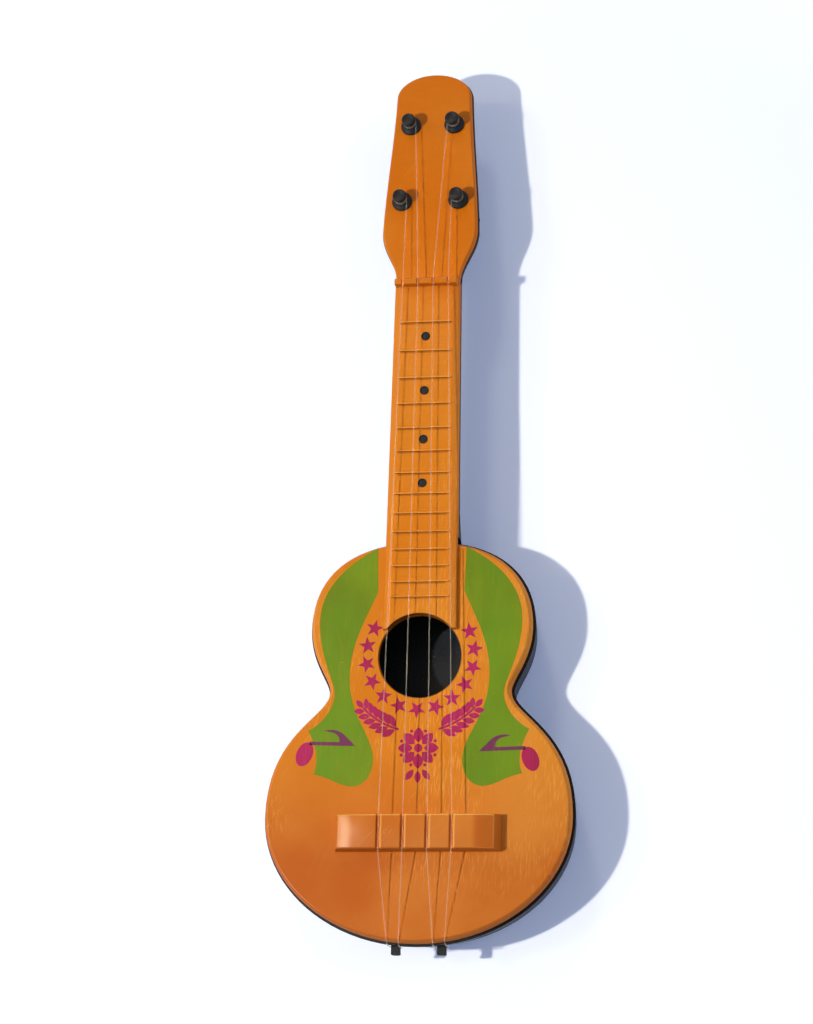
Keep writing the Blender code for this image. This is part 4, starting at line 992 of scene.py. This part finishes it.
class GUITAR_OT_neck_back(Operator):
    """Make the black back of the neck with its heel and the headstock's back plate"""

    bl_idname = "guitar.neck_back"
    bl_label = "Neck back"

    def execute(self, context):
        stations = (
            (BODY_TOP_Y + GAP, HEEL_DEPTH, 2.6),
            (BODY_TOP_Y + 0.005, HEEL_DEPTH * 0.86, 2.5),
            (BODY_TOP_Y + 0.013, HEEL_DEPTH * 0.62, 2.4),
            (BODY_TOP_Y + 0.025, NECK_BACK_DEPTH, 2.3),
            (NUT_Y - 0.016, NECK_BACK_DEPTH * 0.92, 2.3),
            (HEAD_START_Y, NECK_BACK_DEPTH * 0.8, 2.4),
            (HEAD_START_Y + 0.009, NECK_BACK_DEPTH * 0.5, 2.6),
            (HEAD_START_Y + 0.018, HEAD_BACK_THICK * 0.8, 3.0),
        )
        neck = loft([neck_ring(*station) for station in between(stations, 63)])
        high = -HEAD_FRONT_THICK - GAP
        levels = rounding((0.0, HEAD_BACK_Z + HEAD_EDGE), (HEAD_EDGE, HEAD_BACK_Z), 5)[::-1]
        plate = head_plate(levels + [(0.0, high)], -GAP)
        tenon = block((-TENON_HALF, BODY_TOP_Y - SCREW_INSET - TENON_END, TENON_LOW_Z),
                      (TENON_HALF, BODY_TOP_Y - 0.001, BOARD_UNDER_Z - GAP))
        cuts = tuner_holes(HEAD_BACK_Z - OVERCUT, high + OVERCUT)
        rows = ((0.0026, -NECK_BACK_DEPTH), (0.0026, 0.0), (0.0022, 0.0004), (0.0022, 0.0017))
        bore = [(radius, HEAD_BACK_Z + z) for radius, z in rows]
        cuts += [moved(turned(bore, 28, (0, along_head(share))), HEAD_MATRIX) for share in HEAD_SCREW_SHARES]
        whole = boolean(boolean(neck, "UNION", [plate, tenon]), "DIFFERENCE", cuts)
        finish_piece("neck_back_moulding", whole, "black_moulding", "neck_back")
        return {"FINISHED"}


def bridge_form():
    """The bridge before its slots are cut: sloped sides, and a top that falls to its ends and long sides."""
    base = BOARD_Z + GAP
    brow = (BRIDGE_HALF - BRIDGE_END_SLOPE, BRIDGE_DEPTH / 2 - BRIDGE_SIDE_SLOPE)
    hip_x = brow[0] - brow[1]
    foot = (BRIDGE_LEFT_TUCK - BRIDGE_HALF, BRIDGE_HALF - BRIDGE_RIGHT_TUCK, brow[1] + BRIDGE_FOOT_SPREAD)
    points = []
    for left, right, y, z, rise in (
            (*foot, base, 0.0), (*foot, base + 0.0006, 0.0),
            (-brow[0], *brow, BRIDGE_TOP_Z - BRIDGE_FALL, BRIDGE_FALL - BRIDGE_SIDE_FALL)):
        across = [(left, z), (-hip_x, z + rise), (hip_x, z + rise), (right, z)]
        points += [(x, -y, height) for x, height in across] + [(x, y, height) for x, height in across[::-1]]
    points += [(-hip_x, 0, BRIDGE_TOP_Z), (hip_x, 0, BRIDGE_TOP_Z)]
    faces = []
    for low in (0, 8):
        faces += [(low + i, low + (i + 1) % 8, low + 8 + (i + 1) % 8, low + 8 + i) for i in range(8)]
    faces += [range(7, -1, -1), (17, 18, 25, 24), (21, 22, 24, 25), (16, 17, 24), (22, 23, 24), (23, 16, 24),
              (18, 19, 25), (19, 20, 25), (20, 21, 25)]
    shape = bmesh.new()
    verts = [shape.verts.new(point) for point in points]
    for face in faces:
        shape.faces.new([verts[i] for i in face])
    return moved(shape, Matrix.Translation((BRIDGE_OFFSET, BRIDGE_Y, 0)))


class GUITAR_OT_bridge(Operator):
    """Make the bridge with its hipped top, sloped ends and four string slots"""

    bl_idname = "guitar.bridge"
    bl_label = "Bridge"

    def execute(self, context):
        base = BOARD_Z + GAP
        brow_z = BRIDGE_TOP_Z - BRIDGE_FALL - 0.0004
        shape = soften(bridge_form(), BRIDGE_EDGE, 5, 30, lambda co: co.z > brow_z)
        walls = [BRIDGE_OFFSET + x + side * SLOT_WIDTH / 2 for x in SLOTS for side in (-1, 1)]
        slots = [block((low, BRIDGE_Y - BRIDGE_DEPTH, STRING_BRIDGE_Z - STRING_SINK),
                       (high, BRIDGE_Y + BRIDGE_DEPTH, BRIDGE_TOP_Z + OVERCUT))
                 for low, high in zip(walls[::2], walls[1::2])]
        shape = boolean(shape, "DIFFERENCE", slots)
        soften(shape, SLOT_EDGE, 4, 30,
               lambda co: co.z > base + 0.006 and min(abs(co.x - x) for x in walls) < 0.00001)
        pins = [rod(BRIDGE_PIN_RADIUS, BOARD_UNDER_Z - BRIDGE_PIN_REACH, base + 0.001, 20,
                    (x + BRIDGE_OFFSET, BRIDGE_Y)) for x in (-BRIDGE_PIN_X, BRIDGE_PIN_X)]
        finish_piece("bridge_block", together(shape, *pins), "orange_bridge", "bridge", sharp=28.0)
        return {"FINISHED"}


def post_shape():
    """Turned tuner post: flange, waist for the winding, and a dished cap."""
    low = HEAD_BACK_Z - 0.004
    return turned((
        (0.0013, low), (SHAFT_RADIUS, low), (SHAFT_RADIUS, GAP), (0.0053, GAP), (0.0055, GAP + 0.0002),
        (0.0055, 0.0009), (0.0053, 0.0013), (0.0048, 0.0016), (0.0036, 0.0021), (0.0031, 0.0025),
        (SHAFT_RADIUS, 0.0031), (SHAFT_RADIUS, 0.007), (0.0032, 0.0074), (0.0036, 0.0076), (0.0038, 0.0079),
        (0.0038, 0.0089), (0.0036, 0.0095), (0.0031, 0.0098), (0.0027, 0.0098), (0.0023, 0.0095),
        (0.0014, 0.0094), (0.0002, 0.0094)), 40)


def wing_ring(half_length, half_thick, turn, z):
    """A flat oval outline turned about the tuner's axis."""
    ring = []
    for end in (1, -1):
        for angle in arc(12, pi, -end * pi / 2):
            x = (half_length - half_thick) * end + half_thick * cos(angle)
            ring.append(Matrix.Rotation(turn, 3, "Z") @ Vector((x, half_thick * sin(angle), z)))
    return ring


def knob_shape(turn):
    """Knob behind the headstock: a hub and a flat rounded wing."""
    high = HEAD_BACK_Z - GAP
    waist = high - 0.0055
    low = high - KNOB_LENGTH
    hub = turned(((0.0032, low), (0.0035, low + EDGE), (0.0035, waist), (0.0042, waist + 0.0008),
                  (0.0044, waist + 0.0014), (0.0044, high - EDGE), (0.0041, high)), 36)
    rows = ((0.86, 0.45, low + EDGE), (0.93, 0.72, low + 0.0006), (0.98, 0.92, low + 0.0013),
            (1.0, 1.0, low + 0.0024), (1.0, 1.0, waist - 0.003), (0.94, 1.0, waist - 0.0016),
            (0.8, 0.95, waist - 0.0004), (0.62, 0.8, waist + 0.0006))
    wing = loft([wing_ring(WING_HALF * grow, WING_THICK * slim, turn, z) for grow, slim, z in rows])
    hub = boolean(hub, "UNION", [wing])
    return boolean(hub, "DIFFERENCE", [rod(0.0023, low - OVERCUT, low + 0.0019, 32)])


def screw_shape(head_radius, head_height, shank_radius, length):
    """A screw standing on its domed head, with a cross recess and a threaded-looking shank."""
    rows = [(head_radius * wide, head_height * high) for wide, high in
            ((0.25, 0.0), (0.62, 0.1), (0.86, 0.32), (1.0, 0.65), (1.0, 1.0))] + [(shank_radius, head_height)]
    pitch = shank_radius * 0.9
    z = head_height + pitch
    while z < length - 2 * shank_radius:
        rows += [(shank_radius * 0.82, z), (shank_radius, z + pitch * 0.5)]
        z += pitch
    rows += [(shank_radius * 0.8, length - 1.5 * shank_radius), (shank_radius * 0.15, length)]
    arms = (head_radius * 0.58, head_radius * 0.12)
    cross = [block((-x, -y, -OVERCUT), (x, y, head_height * 0.6)) for x, y in (arms, arms[::-1])]
    return boolean(turned(rows, 28), "DIFFERENCE", cross)


class GUITAR_OT_tuners(Operator):
    """Make the four tuners: each a post in front, a winged knob behind and its screw"""

    bl_idname = "guitar.tuners"
    bl_label = "Tuners"

    def execute(self, context):
        low = HEAD_BACK_Z - GAP - KNOB_LENGTH + SCREW_SINK
        for label, (x, share, degrees) in TUNERS.items():
            screw = moved(screw_shape(*KNOB_SCREW), Matrix.Translation((0, 0, low)))
            for name, shape, surface, node in (
                    ("post_", post_shape(), "black_tuner", "tuner_post_"),
                    ("knob_", knob_shape(radians(degrees)), "black_tuner", "tuner_knob_"),
                    ("knob_screw_", screw, "screw_steel_plated", "tuner_screw_")):
                finish_piece(name + label, moved(shape, on_head(x, share)), surface, node + label,
                             "tuner_" + label)
        return {"FINISHED"}


class GUITAR_OT_screws(Operator):
    """Make the screws of the back, the heel and the headstock"""

    bl_idname = "guitar.screws"
    bl_label = "Screws"

    def execute(self, context):
        body, heel = [[Matrix.Translation((*place, SCREW_SINK)) for place in places]
                      for places in (BODY_SCREWS, HEEL_SCREWS)]
        head = [on_head(0, share, HEAD_BACK_Z + SCREW_SINK) for share in HEAD_SCREW_SHARES]
        turn = 0
        for kind, sizes, places in (("body", LONG_SCREW, body), ("heel", LONG_SCREW, heel),
                                    ("head", HEAD_SCREW, head)):
            for number, place in enumerate(places, 1):
                node = "%s_screw_%d" % (kind, number)
                screw = moved(screw_shape(*sizes), place @ Matrix.Rotation(radians(37 * turn), 4, "Z"))
                finish_piece("cross_" + node, screw, "screw_steel_plated", node)
                turn += 1
        return {"FINISHED"}


def winding(label, side, seat):
    """Route from the loose end round the post to the run that leaves it for the nut."""
    x, share, _ = TUNERS[label]
    radius = SHAFT_RADIUS + seat
    leave = pi if side > 0 else 0.0
    per_turn = 40
    points = []
    for i in range(round(WINDING_TURNS * per_turn), -1, -1):
        back = i / per_turn
        angle = leave - side * 2 * pi * back
        height = WINDING_START + WINDING_PITCH * back
        points.append(Vector((radius * cos(angle), radius * sin(angle), height)))
    first = points[0]
    loose = (first - points[1]).normalized()
    loose.z = 0.0
    outward = Vector((first.x, first.y, 0.0)).normalized()
    for out in (0.33, 0.66, 1.0):
        points.insert(0, first + (loose * 0.9 * out + outward * 0.4 * out * out) * 0.0018)
    return [on_head(x, share) @ point for point in points]


def straight_run(number, leg_x, seat, rim):
    """Route of one string from the nut over the bridge to the body's lower edge."""
    notch, slot = NOTCHES[number], BRIDGE_OFFSET + SLOTS[number]
    half_depth = BRIDGE_DEPTH / 2 - BRIDGE_SIDE_SLOPE + GAP
    run = [(notch, NUT_Y + 0.001, STRING_NUT_Z), (notch, NUT_Y - 0.002, STRING_NUT_Z),
           (slot, BRIDGE_Y + half_depth, STRING_BRIDGE_Z), (slot, BRIDGE_Y - half_depth, STRING_BRIDGE_Z)]
    middle_y = tail_y(leg_x) + rim
    for angle in map(radians, (12, 24, 36, 49, 62, 76, 90)):
        run.append((leg_x, middle_y - (rim + seat) * sin(angle), BOARD_Z - rim + (rim + seat) * cos(angle)))
    return [Vector(point) for point in run]


class GUITAR_OT_strings(Operator):
    """Make the two nylon lines, each wound on two posts and looped round a tail hook"""

    bl_idname = "guitar.strings"
    bl_label = "Strings"

    def execute(self, context):
        sizes = context.scene.guitar_sizes
        seat = sizes.string_width / 2 + GAP
        reach = HOOK_HALF + seat
        for name, side, numbers in (("bass", -1, (0, 1)), ("treble", 1, (3, 2))):
            middle = side * HOOK_X + BRIDGE_OFFSET
            ways = []
            for row, number, leg in zip(("_low", "_high"), numbers, (side, -side)):
                run = straight_run(number, middle + leg * reach, seat, sizes.rim_round)
                ways.append(winding(name + row, side, seat) + run)
            out, back = ways
            loop = []
            for angle in arc(16, pi):
                y = out[-1].y + (back[-1].y - out[-1].y) * angle / pi
                z = HOOK_TOP_Z - HOOK_HEIGHT + HOOK_HALF - reach * sin(angle)
                loop.append(Vector((middle + side * reach * cos(angle), y, z)))
            line = tube(out + loop + back[::-1], sizes.string_width / 2, 12)
            finish_piece("line_" + name, line, "nylon_clear", "string_loop_" + name, sharp=50.0)
        return {"FINISHED"}


def ink(outlines, rise=PRINT_RISE):
    """Thin closed sheets of the given outlines, lying on the soundboard."""
    shape = bmesh.new()
    for number, outline in enumerate(outlines):
        low = [shape.verts.new((x, y, BOARD_Z - PRINT_SINK)) for x, y in outline]
        high = [shape.verts.new((x, y, BOARD_Z + rise + number * PRINT_LAYER)) for x, y in outline]
        for i in range(-len(outline), 0):
            shape.faces.new((low[i], low[i + 1], high[i + 1], high[i]))
        caps = [shape.faces.new(low[::-1]), shape.faces.new(high)]
        for cap in caps:
            cap.normal_update()
        bmesh.ops.triangulate(shape, faces=caps, ngon_method="EAR_CLIP")
    return shape


def drawn(steps, start, *stretches):
    """An outline in metres along lines and curves in millimetres, each from where the last one ends.

    A stretch is the end of a line, or two control points and the end of a curve.
    """
    points = []
    for stretch in stretches:
        curve = [Vector(point) / 1000 for point in (start, *stretch)]
        points += curve[:1] if len(curve) == 2 else [on_curve(curve, i / steps) for i in range(steps)]
        start = stretch[-1]
    return points


def mirrored(outline, shift=(0.0, 0.0)):
    """An outline on the other side of the middle."""
    return [(shift[0] - x, y + shift[1]) for x, y in outline]


def panel_outline():
    """The left green panel: along the rim, in at the waist, and round above the bridge."""
    return drawn(
        14, (-23.7, 208.9),
        ((-36.5, 202.5), (-53.9, 190.0), (-53.9, 170.0)),
        ((-53.9, 150.5), (-44.8, 137.5), (-44.8, 131.0)),
        ((-44.8, 123.5), (-51.0, 115.0), (-58.4, 111.6)),
        ((-54.6, 104.5), (-51.6, 96.5), (-54.9, 88.4)),
        ((-47.0, 87.2), (-40.5, 82.0), (-34.6, 82.0)),
        ((-28.0, 82.0), (-23.5, 88.0), (-23.5, 96.0)),
        ((-23.5, 109.0), (-37.1, 118.0), (-37.1, 140.6)),
        ((-37.1, 158.0), (-29.0, 171.5), (-23.0, 185.3)),
        ((-23.7, 208.9),))


def note_head():
    """The slanted oval of the left note."""
    turn = Matrix.Rotation(radians(-22), 2)
    centre = Vector((-0.06, 0.0991))
    return [centre + turn @ Vector((0.0043 * cos(a), 0.0066 * sin(a))) for a in arc(32)[:-1]]


def note_stem():
    """The left note's stem with its flag."""
    return drawn(
        8, (-57.2, 103.9), ((-41.0, 103.4),), ((-33.2, 103.2),),
        ((-35.0, 105.6), (-36.6, 106.6), (-38.4, 108.6)),
        ((-41.0, 111.4), (-44.6, 112.6), (-49.8, 111.6)),
        ((-47.4, 110.6), (-45.2, 110.8), (-43.4, 109.6)),
        ((-41.6, 108.2), (-41.4, 106.6), (-41.6, 105.4)),
        ((-57.4, 105.8),), ((-57.2, 103.9),))


def toward(angle, reach=1.0):
    """A step of some length in one direction."""
    return Vector((cos(angle), sin(angle))) * reach


def star(centre, radius, turn):
    """A five-pointed star with one point along the turn."""
    return [centre + toward(angle, radius * share)
            for angle, share in zip(arc(10, start=turn)[:-1], (1.0, 0.41) * 5)]


def leaf(place, turn, length, width):
    """A pointed oval that starts at a place and points along the turn."""
    edge = [(share, width / 2 * (1 - (2 * share - 1) ** 2)) for share in arc(8, 1.0)]
    rows = edge + [(share, -half) for share, half in edge[-2:0:-1]]
    return [place + toward(turn, length * share) + toward(turn + pi / 2, half) for share, half in rows]


def disc(centre, radius, sides=24):
    """A round spot."""
    return [(x, y) for x, y, _ in circle(radius, 0.0, sides, centre)]


def rosette_outlines():
    """An eight-petalled flower with dots between its petals and a small tuft below it."""
    shapes = [disc(ROSETTE, 0.0022)]
    for turn in arc(8, start=pi / 2)[:-1]:
        shapes.append(leaf(ROSETTE + toward(turn, 0.0029), turn, 0.008, 0.0054))
        shapes.append(disc(ROSETTE + toward(turn + pi / 8, 0.0096), 0.0009, 12))
    for degrees, length in ((-90, 0.0064), (-125, 0.0068), (-55, 0.0068)):
        turn = radians(degrees)
        shapes.append(leaf(ROSETTE + Vector((0, -0.0078)) + toward(turn, 0.0042), turn, length, 0.0034))
    return shapes


def on_stem(side, angle, beside=0.0):
    """A place on the stem of one side's spray, or beside it, and the way the stem runs there."""
    way = Vector((side * sin(angle), -cos(angle)))
    return STAR_CENTRE + way * (SPRAY_RADIUS + beside), atan2(sin(angle), side * cos(angle))


def spray_outlines():
    """A stem on each side of the flower that rises round the stars, with leaves along it."""
    shapes = []
    sweep = SPRAY_END - SPRAY_START
    for side in (-1, 1):
        turns = arc(16, sweep, SPRAY_START)
        shapes.append([on_stem(side, angle, STEM_HALF)[0] for angle in turns]
                      + [on_stem(side, angle, -STEM_HALF)[0] for angle in turns[::-1]])
        for i in range(SPRAY_PAIRS):
            share = (i + 0.3) / SPRAY_PAIRS
            place, along = on_stem(side, SPRAY_START + sweep * share)
            for turn in (along - LEAF_LEAN, along + LEAF_LEAN):
                shapes.append(leaf(place + toward(turn, 0.0011), turn, 0.0082 - 0.0026 * share,
                                   0.0037 - 0.0008 * share))
        shapes.append(leaf(*on_stem(side, SPRAY_END), 0.0056, 0.003))
    return shapes


class GUITAR_OT_prints(Operator):
    """Print the soundboard: green side panels, stars, notes, and a flower with leafy sprays"""

    bl_idname = "guitar.prints"
    bl_label = "Prints"

    def execute(self, context):
        sizes = context.scene.guitar_sizes
        stars = [star(STAR_CENTRE + toward(turn, STAR_RING), sizes.star_radius, turn)
                 for turn in arc(sizes.star_count - 1, STAR_SWEEP, FIRST_STAR)]
        head, stem = note_head(), note_stem()
        for name, outlines, surface, rise in (
                ("panel_bass", [panel_outline()], "green_ink", PRINT_RISE),
                ("panel_treble", [mirrored(panel_outline())], "green_ink", PRINT_RISE),
                ("star_ring", stars, "magenta_ink", PRINT_RISE),
                ("flower", rosette_outlines(), "magenta_ink", PRINT_RISE),
                ("leafy_sprays", spray_outlines(), "magenta_ink", PRINT_RISE),
                ("note_heads", [head, mirrored(head, RIGHT_NOTE_SHIFT)], "magenta_ink", OVERPRINT_RISE),
                ("note_stems", [stem, mirrored(stem, RIGHT_NOTE_SHIFT)], "violet_ink", OVERPRINT_RISE)):
            finish_piece(name, ink(outlines, rise), surface)
        return {"FINISHED"}


def hang_lamp(name, kind, place, colour, energy, size, only_gloss=False):
    """A lamp aimed at the guitar, its size in degrees for a far one and in metres for a near one.

    One that is only for gloss is seen in shiny edges, and lights nothing.
    """
    data = bpy.data.lights.new(name, kind)
    if kind == "SUN":
        data.angle = radians(size)
    else:
        data.size = size
    data.energy = energy
    data.color = colour
    lamp = add_object(name, data)
    lamp.location = place
    lamp.rotation_euler = place.to_track_quat("Z", "Y").to_euler()
    lamp.visible_diffuse = not only_gloss


class GUITAR_OT_stage(Operator):
    """Set the camera, lamps, world and pale floor"""

    bl_idname = "guitar.stage"
    bl_label = "Stage"

    def execute(self, context):
        scene = context.scene
        scene.view_settings.view_transform = "Standard"
        camera = add_object("camera", bpy.data.cameras.new("camera"))
        camera.data.sensor_fit = "HORIZONTAL"
        camera.data.sensor_width = SENSOR_WIDTH
        camera.data.lens = CAMERA_LENS
        camera.data.clip_end = 50
        across, down = CAMERA_LEAN
        back = Vector((sin(across) * cos(down), -sin(down), cos(across) * cos(down)))
        right = Vector((sin(CAMERA_ROLL), cos(CAMERA_ROLL), 0)).cross(back).normalized()
        turn = Matrix((right, back.cross(right), back)).transposed()
        camera.matrix_world = Matrix.Translation(CAMERA_PLACE) @ turn.to_4x4()
        scene.camera = camera

        energy = KEY_SHARE * pi ** 2 * KEY_PLACE.length_squared
        hang_lamp("key", "AREA", KEY_PLACE, (1.0, 0.985, 0.96), energy, KEY_SIZE)
        for name, way, degrees, share, colour, only_gloss in FAR_LAMPS:
            place = Vector(way).normalized() * LAMP_DISTANCE
            hang_lamp(name, "SUN", place, colour, share * pi, degrees, only_gloss)

        scene.world = bpy.data.worlds.new("studio")
        scene.world.use_nodes = True
        studio = Nodes(scene.world.node_tree)
        soft = studio.node("ShaderNodeBackground", None, {"Color": SOFT_LIGHT, "Strength": SOFT_STRENGTH})
        white = studio.node("ShaderNodeBackground", None, {"Color": (1, 1, 1, 1)})
        seen = studio.node("ShaderNodeMixShader", None, {0: studio.shown(), 1: soft, 2: white})
        studio.feed(studio.tree.nodes["World Output"], {"Surface": seen})

        finish = Finish("pale_floor")
        across, along = finish.axis("X"), finish.axis("Y")
        far_off = finish.rise(across * across + along * along, 0.07, 0.38)
        glow = finish.mix(finish.shown(), (0, 0, 0), finish.mix(far_off, FLOOR_GLOW, (1, 1, 1)))
        finish.feed(finish.shader, {"Emission Color": glow, "Emission Strength": 1.0})
        shape = bmesh.new()
        corners = ((-FLOOR_HALF, -FLOOR_HALF), (FLOOR_HALF, -FLOOR_HALF), (FLOOR_HALF, FLOOR_HALF),
                   (-FLOOR_HALF, FLOOR_HALF))
        shape.faces.new([shape.verts.new((x, y, FLOOR_Z)) for x, y in corners])
        floor = add_object("floor", as_mesh(shape, "floor"))
        floor.data.materials.append(finish.done(FLOOR_WHITE, 0.9))
        return {"FINISHED"}


STEPS = (
    GUITAR_OT_soundboard, GUITAR_OT_tub, GUITAR_OT_neck_front, GUITAR_OT_markers, GUITAR_OT_neck_back,
    GUITAR_OT_bridge, GUITAR_OT_tuners, GUITAR_OT_screws, GUITAR_OT_strings, GUITAR_OT_prints,
    GUITAR_OT_stage,
)


class GUITAR_PT_pieces(Panel):
    """Lists the guitar's sizes, colours and pieces"""

    bl_label = "Toy guitar"
    bl_idname = "GUITAR_PT_pieces"
    bl_space_type = "VIEW_3D"
    bl_region_type = "UI"
    bl_category = "Toy guitar"

    def draw(self, context):
        column = self.layout.column()
        for group in (context.scene.guitar_sizes, context.scene.guitar_colours):
            for name in group.__annotations__:
                column.prop(group, name)
        for step in STEPS:
            column.operator(step.bl_idname)


CLASSES = (GuitarSizes, GuitarColours, *STEPS, GUITAR_PT_pieces)


def register():
    """Make the properties, operators and panel known to Blender."""
    for kind in CLASSES:
        bpy.utils.register_class(kind)
    bpy.types.Scene.guitar_sizes = PointerProperty(type=GuitarSizes)
    bpy.types.Scene.guitar_colours = PointerProperty(type=GuitarColours)


def unregister():
    """Take away what register added."""
    del bpy.types.Scene.guitar_colours
    del bpy.types.Scene.guitar_sizes
    for kind in reversed(CLASSES):
        bpy.utils.unregister_class(kind)


def main():
    """Make every piece in order."""
    register()
    for step in STEPS:
        getattr(bpy.ops.guitar, step.bl_idname.split(".")[1])()


if __name__ == "__main__":
    main()
